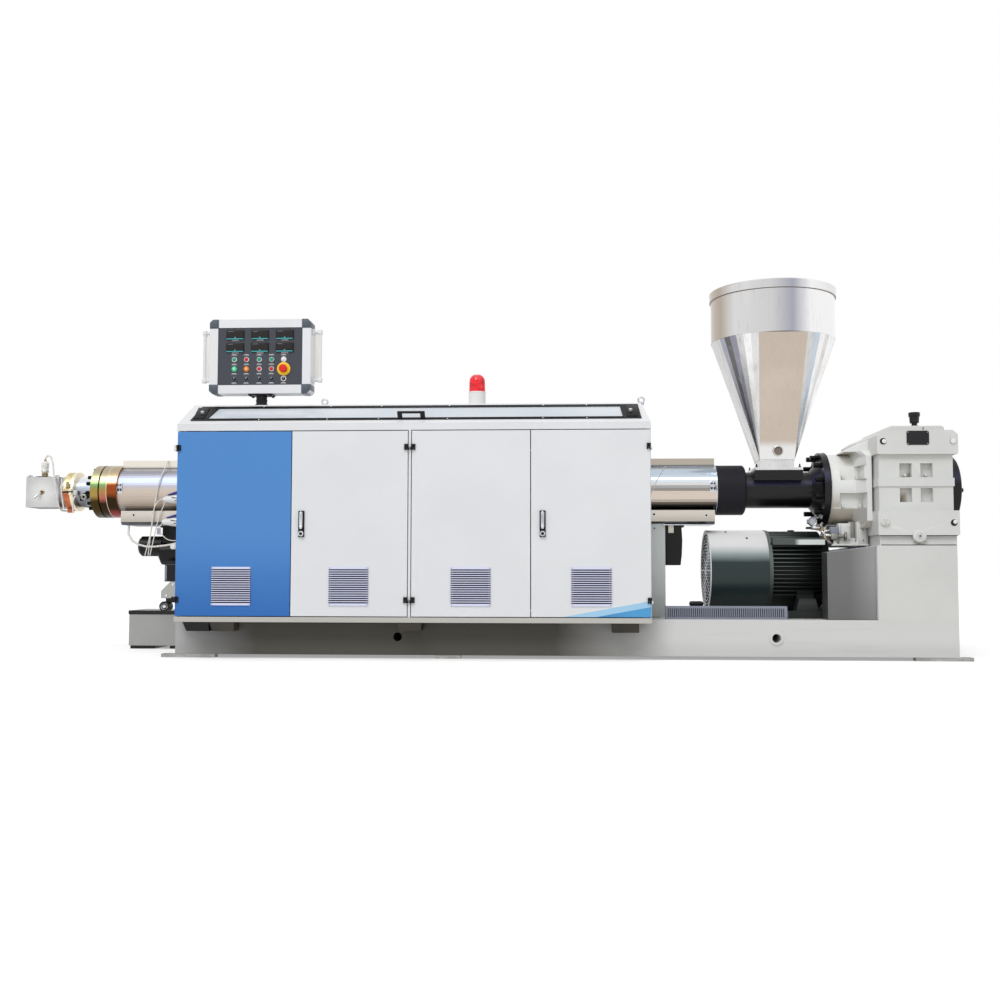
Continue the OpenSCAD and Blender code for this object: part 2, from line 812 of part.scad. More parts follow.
module panel_post() {
    color([0.1, 0.1, 0.1]) difference() {
        union() {
            rod_z(pan_x, -pan_y, roof_z + 28, pan_z0 - plate_z + 1, 32);
            span(pan_x - 72, pan_x + 72, -pan_y - 42, -pan_y + 42, pan_z0 - plate_z, pan_z0);
        }
        rod_z(pan_x, -pan_y, roof_z + 27, roof_z + 43, 12.3);
    }
}

module panel_outline(t, c) {
    x0 = pan_x - pan_w / 2 + t;
    x1 = pan_x + pan_w / 2 - t;
    z0 = pan_z0 + t;
    z1 = pan_z1 - t;
    polygon([
        [x0 + c, z0], [x1 - c, z0], [x1, z0 + c], [x1, z1 - c],
        [x1 - c, z1], [x0 + c, z1], [x0, z1 - c], [x0, z0 + c]
    ]);
}

module panel_frame() {
    y0 = -pan_y - pan_d / 2;
    color([0.85, 0.86, 0.87]) {
        difference() {
            translate([0, y0 + pan_d, 0]) rotate([90, 0, 0])
                linear_extrude(height = pan_d) panel_outline(0, 14);
            translate([0, y0 + 8, 0]) rotate([90, 0, 0])
                linear_extrude(height = 20) panel_outline(50, 0.5);
        }
        for (s = [-1, 1]) {
            rod_z(pan_x + s * (pan_w / 2 + 46), -pan_y, 1627, 1943, 10);
            for (z = [1640, 1930])
                rod_x(min(pan_x + s * (pan_w / 2 - 1), pan_x + s * (pan_w / 2 + 46)),
                    max(pan_x + s * (pan_w / 2 - 1), pan_x + s * (pan_w / 2 + 46)),
                    -pan_y, z, 10);
        }
    }
}

module panel_face() {
    y0 = -pan_y - pan_d / 2;
    color([0.25, 0.26, 0.29]) translate([0, y0 + 8, 0]) rotate([90, 0, 0])
        linear_extrude(height = 4) panel_outline(50, 0.5);
}

module panel_controls() {
    y1 = -pan_y - pan_d / 2 + 4;
    color([0.12, 0.12, 0.13]) {
        for (x = [-1483, -1334, -1185], z = [1830, 1906])
            span(x - 53, x + 53, y1 - 8, y1, z - 28, z + 28);
        for (x = [-1487, -1414, -1337, -1263, -1190], z = [1643, 1701, 1758])
            rod_y(x, y1 - 10, y1, z, 15);
        rod_y(-1190, y1 - 30, y1, 1701, 21);
    }
}

// Signal lamp and lifting eyes

module beacon_base() {
    color([0.92, 0.92, 0.91]) rod_z(-47, -300, roof_z, 1570, 51);
}

module beacon_lens() {
    color([0.9, 0.12, 0.1]) intersection() {
        rod_z(-47, -300, 1570, 1676, 49);
        translate([-47, -300, 1570]) sphere(r = 106);
    }
}

module lifting_eyes() {
    color([0.55, 0.56, 0.57]) for (x = [-964, 926], s = [-1, 1]) {
        rod_z(x, s * 300, roof_z, roof_z + 12, 17);
        translate([x, s * 300, roof_z + 30]) rotate([90, 0, 0])
            rotate_extrude() translate([17, 0]) circle(r = 5.5, $fn = 32);
    }
}

base_frame();
pedestal();
foot_pads();
outriggers();
oil_unit();
oil_unit_lid();
cable_duct();
motor_body();
motor_cowl();
gearbox_housing();
gearbox_bell();
gearbox_covers();
gearbox_end_cover();
breather();
gearbox_flange();
feed_barrel();
hopper_base();
hopper();
hopper_lid();
barrel_cover();
blowers();
die_flanges();
retainer_ring();
adapter();
heater_clamp();
die_block();
sensor_plug();
heater_leads();
terminal_blocks();
wall_bracket();
wall_column();
cabinet_frame();
cabinet_roof();
rear_panels();
window_frame();
window_pane();
window_handle();
mounting_plate();
barrel_supports();
fixed_fittings();
door_1();
door_2();
door_3();
door_4();
vent_1();
vent_2();
vent_3();
vent_4();
fittings_1();
fittings_2();
fittings_3();
fittings_4();
panel_foot();
panel_post();
panel_frame();
panel_face();
panel_controls();
beacon_base();
beacon_lens();
lifting_eyes();
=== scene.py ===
"""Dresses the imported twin-screw plastic extruder: finishes, fittings, stage and camera."""
import json
import math

import bmesh
import bpy
from mathutils import Matrix, Vector

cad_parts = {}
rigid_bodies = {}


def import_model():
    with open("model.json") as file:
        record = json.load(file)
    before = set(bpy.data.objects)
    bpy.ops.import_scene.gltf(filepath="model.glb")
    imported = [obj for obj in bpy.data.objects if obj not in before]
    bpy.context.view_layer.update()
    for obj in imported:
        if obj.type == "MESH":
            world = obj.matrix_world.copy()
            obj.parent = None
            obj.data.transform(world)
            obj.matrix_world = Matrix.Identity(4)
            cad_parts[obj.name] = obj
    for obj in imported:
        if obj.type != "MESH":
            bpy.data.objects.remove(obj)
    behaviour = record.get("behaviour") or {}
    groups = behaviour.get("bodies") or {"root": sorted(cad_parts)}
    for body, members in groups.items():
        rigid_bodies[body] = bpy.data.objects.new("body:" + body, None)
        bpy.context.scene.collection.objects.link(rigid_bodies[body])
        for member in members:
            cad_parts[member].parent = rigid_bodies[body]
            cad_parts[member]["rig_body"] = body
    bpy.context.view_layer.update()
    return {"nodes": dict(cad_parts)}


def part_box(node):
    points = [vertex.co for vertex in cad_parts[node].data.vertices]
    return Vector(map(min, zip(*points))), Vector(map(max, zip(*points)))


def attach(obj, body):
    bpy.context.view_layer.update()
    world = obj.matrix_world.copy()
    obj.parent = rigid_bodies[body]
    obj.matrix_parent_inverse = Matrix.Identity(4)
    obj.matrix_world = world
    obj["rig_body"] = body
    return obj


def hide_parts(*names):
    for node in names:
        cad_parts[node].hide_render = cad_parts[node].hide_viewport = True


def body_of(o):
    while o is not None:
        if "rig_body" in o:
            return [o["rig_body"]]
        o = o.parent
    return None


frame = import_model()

bl_info = {
    "name": "Plastic extruder",
    "version": (1, 0, 0),
    "blender": (4, 5, 0),
    "location": "3D View > Sidebar > Extruder",
    "description": "Dresses a conical twin-screw plastic extruder on its packed frame",
    "category": "Object",
}

NODES = frame["nodes"]
BARREL_Z = 1000.0
MOTOR_Z = 510.0
HOPPER_X = 1756
FINISHES = {}


# Shader expressions and finishes


def seen(r, g, b):
    """Linear shader values of a colour given as it shows on a screen."""
    return tuple(((c + 0.055) / 1.055) ** 2.4 if c > 0.04045 else c / 12.92 for c in (r, g, b))


class Field:
    """A shader socket that takes part in plain arithmetic."""

    def __init__(self, finish, socket):
        self.finish = finish
        self.socket = socket

    def _with(self, operation, *values):
        return self.finish.node("ShaderNodeMath", {"operation": operation}, dict(enumerate(values)))

    def __add__(self, other):
        return self._with("ADD", self, other)

    def __radd__(self, other):
        return self._with("ADD", other, self)

    def __sub__(self, other):
        return self._with("SUBTRACT", self, other)

    def __rsub__(self, other):
        return self._with("SUBTRACT", other, self)

    def __mul__(self, other):
        return self._with("MULTIPLY", self, other)

    def __rmul__(self, other):
        return self._with("MULTIPLY", other, self)

    def __truediv__(self, other):
        return self._with("DIVIDE", self, other)

    def __rtruediv__(self, other):
        return self._with("DIVIDE", other, self)

    def __abs__(self):
        return self._with("ABSOLUTE", self)

    def above(self, level):
        return self._with("GREATER_THAN", self, level)

    def below(self, level):
        return self._with("LESS_THAN", self, level)

    def sine(self):
        return self._with("SINE", self)

    def larger(self, other):
        return self._with("MAXIMUM", self, other)

    def smaller(self, other):
        return self._with("MINIMUM", self, other)

    def angle_from(self, other):
        return self._with("ARCTAN2", self, other)

    def rise(self, low, high):
        """0 below low, 1 above high, smooth between."""
        return self.finish.node(
            "ShaderNodeMapRange", {"interpolation_type": "SMOOTHSTEP"},
            {"Value": self, "From Min": low, "From Max": high})


class Finish:
    """A material being made: its shader, and the nodes that feed it."""

    def __init__(self, name, **plain):
        self.material = bpy.data.materials.new(name)
        self.material.use_nodes = True
        self.tree = self.material.node_tree
        self.shader = self.tree.nodes["Principled BSDF"]
        for socket, value in plain.items():
            self.shader.inputs[socket.replace("_", " ")].default_value = value
        FINISHES[name] = self.material

    def node(self, kind, settings=None, inputs=None, output=0):
        made = self.tree.nodes.new(kind)
        for key, value in (settings or {}).items():
            if key == "stops":
                ramp = made.color_ramp
                while len(ramp.elements) < len(value):
                    ramp.elements.new(0.5)
                for element, (place, colour) in zip(ramp.elements, value):
                    element.position = place
                    element.color = (*colour, 1.0)
            else:
                setattr(made, key, value)
        for key, value in (inputs or {}).items():
            if isinstance(value, Field):
                self.tree.links.new(value.socket, made.inputs[key])
            elif isinstance(value, tuple) and len(made.inputs[key].default_value) == 4:
                made.inputs[key].default_value = (*value, 1.0) if len(value) == 3 else value
            else:
                made.inputs[key].default_value = value
        return Field(self, made.outputs[output])

    def place(self, scale=(1.0, 1.0, 1.0), centre=(0.0, 0.0, 0.0)):
        """Object coordinates in metres, moved to a centre and stretched."""
        spot = self.node("ShaderNodeTexCoord", output=3)
        moved = self.node("ShaderNodeMapping", {"vector_type": "TEXTURE"},
                          {"Vector": spot, "Location": centre})
        return self.node("ShaderNodeVectorMath", {"operation": "MULTIPLY"}, {0: moved, 1: scale})

    def axes(self, **where):
        """The three object coordinates as separate fields."""
        spot = self.place(**where)
        split = self.node("ShaderNodeSeparateXYZ", inputs={"Vector": spot})
        outputs = split.socket.node.outputs
        return [Field(self, outputs[i]) for i in range(3)]

    def facing(self):
        """The three parts of the surface normal."""
        normal = self.node("ShaderNodeNewGeometry", output=1)
        split = self.node("ShaderNodeSeparateXYZ", inputs={"Vector": normal})
        outputs = split.socket.node.outputs
        return [Field(self, outputs[i]) for i in range(3)]

    def grain(self, scale, detail=3.0, stretch=(1.0, 1.0, 1.0), rough=0.55):
        """Noise from 0 to 1 with its finest size set by scale, in cells a metre."""
        return self.node("ShaderNodeTexNoise", {"noise_dimensions": "3D"},
                         {"Vector": self.place(scale=stretch), "Scale": scale, "Detail": detail,
                          "Roughness": rough})

    def blend(self, first, second, amount):
        """A colour between two colours."""
        mix = self.tree.nodes.new("ShaderNodeMix")
        mix.data_type = "RGBA"
        mix.clamp_result = True
        for socket, value in ((mix.inputs[0], amount), (mix.inputs[6], first), (mix.inputs[7], second)):
            if isinstance(value, Field):
                self.tree.links.new(value.socket, socket)
            elif isinstance(value, tuple):
                socket.default_value = (*value, 1.0)
            else:
                socket.default_value = value
        return Field(self, mix.outputs[2])

    def ramp(self, value, stops, how="LINEAR"):
        """A colour read from a list of stops."""
        made = self.node("ShaderNodeValToRGB", {"stops": stops}, {"Fac": value})
        made.socket.node.color_ramp.interpolation = how
        return made

    def bump(self, height, strength=0.2, depth=0.001):
        return self.node("ShaderNodeBump", inputs={"Height": height, "Strength": strength,
                                                   "Distance": depth})

    def feed(self, **links):
        """Links fields to the shader's own sockets."""
        for socket, value in links.items():
            self.tree.links.new(value.socket, self.shader.inputs[socket.replace("_", " ")])
        return self.material


# Plain tones that the metals' painted reflections and the cowl's painted light and shade blend between, in
# steps of 0.05 of a screen's range.
TONES = {
    "shadow": (0.20, 0.20, 0.20), "slate": (0.45, 0.45, 0.45), "ash": (0.65, 0.65, 0.70),
    "silver": (0.80, 0.80, 0.80), "pearl": (0.85, 0.85, 0.85), "bright": (0.95, 0.95, 0.95),
    "sand": (0.70, 0.65, 0.60), "floor": (0.80, 0.75, 0.70), "buff": (0.75, 0.70, 0.65),
    "sky": (0.75, 0.80, 0.85), "dusk": (0.55, 0.60, 0.70),
    "umber": (0.20, 0.15, 0.10), "olive": (0.25, 0.20, 0.10), "gold": (0.65, 0.55, 0.30),
    "green": (0.45, 0.60, 0.40), "lime": (0.70, 0.75, 0.50), "straw": (0.70, 0.65, 0.55),
    "rose": (0.70, 0.40, 0.35), "crimson": (0.50, 0.20, 0.20), "copper": (0.60, 0.30, 0.15),
    "cream": (0.85, 0.75, 0.60), "pine": (0.15, 0.20, 0.20), "mist": (0.55, 0.60, 0.60),
}


def toned(*stops):
    """Ramp stops from pairs of a place and the name of a tone."""
    return [(place, seen(*TONES[name])) for place, name in stops]


def around_x(finish):
    """How far up a surface faces, 0 downwards to 1 upwards."""
    up = finish.facing()[2]
    return up * 0.5 + 0.5


# Meshes


class Shape:
    """A mesh being made from bmesh operators, in millimetres, one finish a part."""

    def __init__(self):
        self.bm = bmesh.new()
        self.names = []

    def take(self, part, finish, matrix=None):
        """Adds a part, in one finish, and frees it."""
        if matrix is not None:
            bmesh.ops.transform(part, matrix=matrix, verts=part.verts)
        bmesh.ops.recalc_face_normals(part, faces=part.faces)
        if finish not in self.names:
            self.names.append(finish)
        for face in part.faces:
            face.material_index = self.names.index(finish)
            face.smooth = True
        holder = bpy.data.meshes.new("part")
        part.to_mesh(holder)
        part.free()
        self.bm.from_mesh(holder)
        bpy.data.meshes.remove(holder)

    def block(self, low, high, finish, edge=1.5, segments=2, turn=None):
        """A rounded block between two corners, turned about its middle."""
        part = bmesh.new()
        bmesh.ops.create_cube(part, size=1.0)
        size = [max(b - a, 0.01) for a, b in zip(low, high)]
        bmesh.ops.scale(part, vec=size, verts=part.verts)
        if edge > 0:
            bmesh.ops.bevel(part, geom=part.edges[:], offset=min(edge, min(size) * 0.45),
                            offset_type="OFFSET", segments=segments, profile=0.5,
                            affect="EDGES", material=-1, clamp_overlap=True)
        middle = Vector([(a + b) / 2 for a, b in zip(low, high)])
        matrix = Matrix.Translation(middle)
        if turn is not None:
            matrix = matrix @ Matrix.Rotation(math.radians(turn[1]), 4, turn[0])
        self.take(part, finish, matrix)

    def turned(self, at, along, profile, finish, steps=32, closed=False):
        """A turned part: profile points are (distance along, radius)."""
        part = bmesh.new()
        verts = [part.verts.new((radius, 0.0, distance)) for distance, radius in profile]
        edges = [part.edges.new((a, b)) for a, b in zip(verts, verts[1:])]
        if closed:
            edges.append(part.edges.new((verts[-1], verts[0])))
        bmesh.ops.spin(part, geom=verts + edges, cent=(0, 0, 0), axis=(0, 0, 1),
                       angle=2 * math.pi, steps=steps, use_merge=True, use_duplicate=False)
        bmesh.ops.remove_doubles(part, verts=part.verts, dist=0.001)
        aim = Vector(along).to_track_quat("Z", "Y").to_matrix().to_4x4()
        self.take(part, finish, Matrix.Translation(Vector(at)) @ aim)

    def plate(self, outline, plane, low, high, finish, edge=0.0, segments=2):
        """An outline in two axes, extruded along the third from low to high."""
        part = bmesh.new()
        order = {"XZ": lambda a, b: (a, low, b), "XY": lambda a, b: (a, b, low),
                 "YZ": lambda a, b: (low, a, b)}[plane]
        face = part.faces.new([part.verts.new(order(a, b)) for a, b in outline])
        grown = bmesh.ops.extrude_face_region(part, geom=[face])
        moved = [v for v in grown["geom"] if isinstance(v, bmesh.types.BMVert)]
        way = {"XZ": (0, high - low, 0), "XY": (0, 0, high - low), "YZ": (high - low, 0, 0)}[plane]
        bmesh.ops.translate(part, vec=way, verts=moved)
        if edge > 0:
            bmesh.ops.bevel(part, geom=part.edges[:], offset=edge, offset_type="OFFSET",
                            segments=segments, profile=0.5, affect="EDGES", material=-1,
                            clamp_overlap=True)
        self.take(part, finish)

    def sweep(self, points, radius, finish, sides=10, smooth=6):
        """A round rod, wire or loop that follows points."""
        path = eased(points, smooth)
        part = bmesh.new()
        ring = bmesh.ops.create_circle(part, cap_ends=False, segments=sides, radius=radius)["verts"]
        turns = sweep_frames(path)
        bmesh.ops.transform(part, matrix=turns[0], verts=ring)
        part.faces.new(ring)
        edges = list({e for v in ring for e in v.link_edges})
        for before, after in zip(turns, turns[1:]):
            grown = bmesh.ops.extrude_edge_only(part, edges=edges)["geom"]
            verts = [g for g in grown if isinstance(g, bmesh.types.BMVert)]
            edges = [g for g in grown if isinstance(g, bmesh.types.BMEdge)
                     and g.verts[0] in verts and g.verts[1] in verts]
            bmesh.ops.transform(part, matrix=after @ before.inverted(), verts=verts)
        bmesh.ops.edgenet_fill(part, edges=edges)
        self.take(part, finish)

    def socket_bolt(self, at, along, radius, height, finish="black_bolt", hole="dark_gap"):
        """A cap screw with a hexagon socket."""
        r, h = radius, height
        self.turned(at, along, [(0, r), (h * 0.92, r), (h, r * 0.9), (h, r * 0.55)], finish, 20)
        self.turned(at, along, [(h, r * 0.56), (h * 0.4, r * 0.5), (h * 0.4, 0)], hole, 6)

    def hex_bolt(self, at, along, radius, height, finish="black_bolt"):
        """A hexagon head on a washer."""
        r, h = radius, height
        self.turned(at, along, [(0, r * 1.25), (h * 0.2, r * 1.25), (h * 0.2, r * 0.9)], finish, 20)
        self.turned(at, along, [(h * 0.2, r), (h * 0.9, r), (h, r * 0.85), (h, 0)], finish, 6)

    def cross_screw(self, at, along, radius, finish="chrome"):
        """A round pan head with its cross recess."""
        r = radius
        self.turned(at, along, [(0, r), (r * 0.3, r * 0.95), (r * 0.55, r * 0.6), (r * 0.6, 0)],
                    finish, 16)

    def piece(self, name, body="machine", replaced=(), sharp=35):
        """Finishes the mesh as an object that rides on its body."""
        bmesh.ops.scale(self.bm, vec=(0.001, 0.001, 0.001), verts=self.bm.verts)
        mesh = bpy.data.meshes.new(name)
        self.bm.to_mesh(mesh)
        self.bm.free()
        mesh.set_sharp_from_angle(angle=math.radians(sharp))
        for finish in self.names:
            mesh.materials.append(FINISHES[finish])
        made = bpy.data.objects.new(name, mesh)
        bpy.context.scene.collection.objects.link(made)
        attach(made, body)
        if replaced:
            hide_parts(*replaced)
        return made


def eased(points, smooth):
    """Points on a smooth curve through the given ones."""
    spots = [Vector(p) for p in points]
    if smooth <= 1 or len(spots) < 3:
        return spots
    ends = [spots[0] * 2 - spots[1], *spots, spots[-1] * 2 - spots[-2]]
    path = []
    for a, b, c, d in zip(ends, ends[1:], ends[2:], ends[3:]):
        for step in range(smooth):
            t = step / smooth
            path.append(0.5 * (2 * b + (c - a) * t + (2 * a - 5 * b + 4 * c - d) * t * t
                               + (3 * b - a - 3 * c + d) * t ** 3))
    return path + [spots[-1]]


def sweep_frames(path):
    """A matrix at each point of a path, with as little twist as can be."""
    ways = [(b - a).normalized() for a, b in zip(path, path[1:])]
    ways = [ways[0]] + [(a + b).normalized() for a, b in zip(ways, ways[1:])] + [ways[-1]]
    turn = ways[0].to_track_quat("Z", "Y")
    frames = [Matrix.Translation(path[0]) @ turn.to_matrix().to_4x4()]
    for before, way, spot in zip(ways, ways[1:], path[1:]):
        turn = before.rotation_difference(way) @ turn
        frames.append(Matrix.Translation(spot) @ turn.to_matrix().to_4x4())
    return frames


def dress(node, *names, choose=None, edge=0.0, segments=2, sharp=35, corners=None, lean=None):
    """A welded copy of a node's mesh with its faces sorted over finishes and its edges eased."""
    source = NODES[node]
    bm = bmesh.new()
    bm.from_mesh(source.data)
    bmesh.ops.remove_doubles(bm, verts=bm.verts, dist=1e-5)
    bmesh.ops.dissolve_limit(bm, angle_limit=math.radians(0.3), verts=bm.verts, edges=bm.edges)
    for vert in bm.verts if lean else ():
        vert.co = lean(vert.co * 1000) / 1000
    if corners:
        chosen = [line for line in bm.edges if corners(*(vert.co * 1000 for vert in line.verts))]
        bmesh.ops.bevel(bm, geom=chosen, offset=0.024, offset_type="OFFSET", segments=5, profile=0.5,
                        affect="EDGES", material=-1, clamp_overlap=True)
    for face in bm.faces:
        face.smooth = True
        if choose:
            spot = face.calc_center_median() * 1000
            face.material_index = names.index(choose(spot, face.normal))
    mesh = bpy.data.meshes.new("dressed_" + node)
    bm.to_mesh(mesh)
    bm.free()
    mesh.set_sharp_from_angle(angle=math.radians(sharp))
    for name in names:
        mesh.materials.append(FINISHES[name])
    made = bpy.data.objects.new("dressed_" + node, mesh)
    bpy.context.scene.collection.objects.link(made)
    if edge > 0:
        round_edges = made.modifiers.new("eased edges", "BEVEL")
        round_edges.width = edge / 1000
        round_edges.segments = segments
        round_edges.limit_method = "ANGLE"
        round_edges.angle_limit = math.radians(40)
        round_edges.harden_normals = True
        round_edges.use_clamp_overlap = True
        flat_faces = made.modifiers.new("even flat faces", "WEIGHTED_NORMAL")
        flat_faces.weight = 100
        flat_faces.keep_sharp = True
    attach(made, body_of(source)[0])
    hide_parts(node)
    return made


def paint(node, name):
    """Gives a carried node its finish."""
    mesh = NODES[node].data
    mesh.materials.clear()
    mesh.materials.append(FINISHES[name])


# Sizes and colours that a user may change


def colour(name, description, *value):
    return bpy.props.FloatVectorProperty(name=name, description=description, subtype="COLOR",
                                         size=3, min=0.0, max=1.0, default=seen(*value))


class ExtruderColours(bpy.types.PropertyGroup):
    """Colours of the painted and plastic parts."""

    cabinet_white: colour("Cabinet white", "Powder coat of the white doors and frame", 0.885, 0.89, 0.90)
    blue_top: colour("Blue, top", "Blue door at its upper edge", 0.31, 0.54, 0.80)
    blue_foot: colour("Blue, foot", "Blue door at its lower edge", 0.14, 0.40, 0.70)
    vent_lilac: colour("Vent frame", "Plastic of the door vents", 0.86, 0.87, 0.97)
    # base_painted_shade is the painted shade of the base under the cabinet.
    base_painted_shade: colour("Base, die end", "Base paint under the cabinet", 0.29, 0.28, 0.25)
    base_light: colour("Base, gearbox end", "Base paint under the gearbox", 0.825, 0.825, 0.82)
    gear_white: colour("Gearbox white", "Paint of the gearbox castings", 0.835, 0.84, 0.83)
    cast_black: colour("Casting black", "Gloss black of the feed barrel and flange", 0.085, 0.085, 0.095)
    motor_green: colour("Motor green", "Dark paint of the motor fins", 0.13, 0.15, 0.145)
    zinc_gold: colour("Zinc gold", "Passivated zinc on the clamp", 0.80, 0.73, 0.52)
    copper: colour("Copper", "Copper face of the heaters", 0.78, 0.45, 0.30)
    panel_slate: colour("Panel slate", "Face of the control panel", 0.27, 0.28, 0.31)
    beacon_red: colour("Beacon red", "Plastic of the beacon", 0.98, 0.07, 0.15)
    teal: colour("Meter teal", "Lit strip of the panel meters", 0.25, 0.66, 0.68)


class ExtruderSizes(bpy.types.PropertyGroup):
    """Sizes of the fittings, in metres."""

    edge: bpy.props.FloatProperty(
        name="Paint edge", description="Rounding of painted edges", default=0.003,
        min=0.0005, max=0.006, subtype="DISTANCE", unit="LENGTH")
    wire: bpy.props.FloatProperty(
        name="Heater wire", description="Radius of the thin heater wires", default=0.0032,
        min=0.002, max=0.006, subtype="DISTANCE", unit="LENGTH")
    flange_bolt: bpy.props.FloatProperty(
        name="Flange bolt", description="Radius of the gearbox flange bolt heads", default=0.015,
        min=0.012, max=0.018, subtype="DISTANCE", unit="LENGTH")
    bolt_turn: bpy.props.FloatProperty(
        name="Bolt spacing", description="Angle between the flange bolts", default=math.radians(30),
        min=math.radians(20), max=math.radians(45), subtype="ANGLE", unit="ROTATION")


class ExtruderStage(bpy.types.PropertyGroup):
    """Light of the stage."""

    fill: bpy.props.FloatProperty(name="Fill light", description="Strength of the even sky light",
                                  default=0.63, min=0.2, max=1.0)
    key: bpy.props.FloatProperty(name="Key light", description="Strength of the soft sun",
                                 default=1.08, min=0.0, max=4.0)
    softbox: bpy.props.FloatProperty(name="Softbox", description="Power of the long lamp overhead",
                                     default=28.0, min=0.0, max=200.0, unit="POWER")


# Finishes


def painted(name, tint, rough=0.34, mottle=0.05, peel=0.12, coat=0.15, gloss=0.5, under=None):
    """Sprayed paint: slight blotches, orange peel and dust along level faces; given an under tone, painted
    shade on faces that turn down.
    """
    make = Finish(name, Coat_Weight=coat, Coat_Roughness=0.12, Specular_IOR_Level=gloss)
    blotch = make.grain(2.3, 4.0)
    dust = make.facing()[2].rise(0.8, 1.0) * make.grain(9.0, 5.0).rise(0.4, 0.75)
    shade = make.blend(tint, tuple(c * (1 - mottle * 2.2) for c in tint), blotch.rise(0.35, 0.7))
    shade = make.blend(shade, tuple(min(1.0, c * 0.8 + 0.03) for c in tint), dust * 0.3)
    # Painted shade: faces that turn down blend to the under tone.
    if under:
        shade = make.blend(shade, under, make.facing()[2].rise(0.05, -0.75))
    fine = make.grain(420.0, 2.0)
    return make.feed(Base_Color=shade, Roughness=rough + blotch * 0.1 + dust * 0.15,
                     Normal=make.bump(fine, peel, 0.0004))


def moulded(name, tint, rough=0.42, grain=0.1, gloss=0.4):
    """Moulded plastic with a fine pebble and faint scuffs."""
    make = Finish(name, Specular_IOR_Level=gloss)
    scuff = make.grain(60.0, 6.0, stretch=(1.0, 1.0, 3.0)).rise(0.55, 0.8)
    shade = make.blend(tint, tuple(min(1.0, c * 1.15 + 0.02) for c in tint), scuff * 0.5)
    return make.feed(Base_Color=shade, Roughness=rough + scuff * 0.12,
                     Normal=make.bump(make.grain(900.0, 1.0), grain, 0.0003))


def metal(name, tint, rough=0.24, stretch=(1.0, 1.0, 1.0), streak=0.14, scale=160.0, other=None):
    """Bare or plated metal with brushed streaks in the direction that stretch leaves long."""
    make = Finish(name, Metallic=1.0)
    line = make.grain(scale, 3.0, stretch=stretch)
    cloud = make.grain(7.0, 3.0)
    low = tuple(c * (1 - streak * 2) for c in tint)
    shade = make.blend(make.blend(low, tint, line.rise(0.3, 0.7)), other or tint, cloud.rise(0.4, 0.75))
    return make.feed(Base_Color=shade, Roughness=rough + line * 0.1 + cloud * 0.08,
                     Normal=make.bump(line, 0.06, 0.0004))


def mirrored(value, stops, make, rough=0.14):
    """Polished steel whose painted reflection bands, light and dark, follow the way that its surface turns.
    """
    stretch = (1.0, 1.0, 0.12)
    wave = make.grain(3.0, 2.0, stretch=stretch)
    line = make.grain(60.0, 4.0, stretch=stretch)
    shade = make.ramp(value + (wave - 0.5) * 0.006, toned(*stops))
    shade = make.blend(shade, seen(0.52, 0.52, 0.53), line.rise(0.54, 0.80) * 0.22)
    return make.feed(Base_Color=shade, Roughness=rough + line * 0.08,
                     Normal=make.bump(line, 0.03, 0.0004))


# The cone's flat front lies between two turns, and its folds are even steps beside it; each takes one painted
# reflection tone.
FOLD = 1 / 48
FLAT_FROM = 0.470
FLAT_TO = 0.595
LEFT_CORNER = ("ash", "slate", "ash", "pearl", "bright", "pearl")
RIGHT_CORNER = ("silver", "sky", "bright", "pearl", "bright")


def cone_folds():
    """One painted reflection tone for each fold of the cone; the flats between its corners stay even."""
    left = [(FLAT_FROM + (i - 6) * FOLD, tone) for i, tone in enumerate(LEFT_CORNER)]
    right = [(FLAT_TO + i * FOLD, tone) for i, tone in enumerate(RIGHT_CORNER)]
    return toned((0.0, "silver"), (0.10, "ash"), (0.15, "silver"), *left, (FLAT_FROM, "buff"), *right,
                 (0.85, "ash"), (0.90, "silver"))


def toward_hopper_front(make):
    """Turn about the hopper's axis from 0 to 1: 0.5 faces the camera, 0.75 the gearbox."""
    nx, ny, _ = make.facing()
    right = nx * 0.983 + ny * -0.182
    front = nx * -0.182 + ny * -0.983
    return right.angle_from(front) / (2 * math.pi) + 0.5


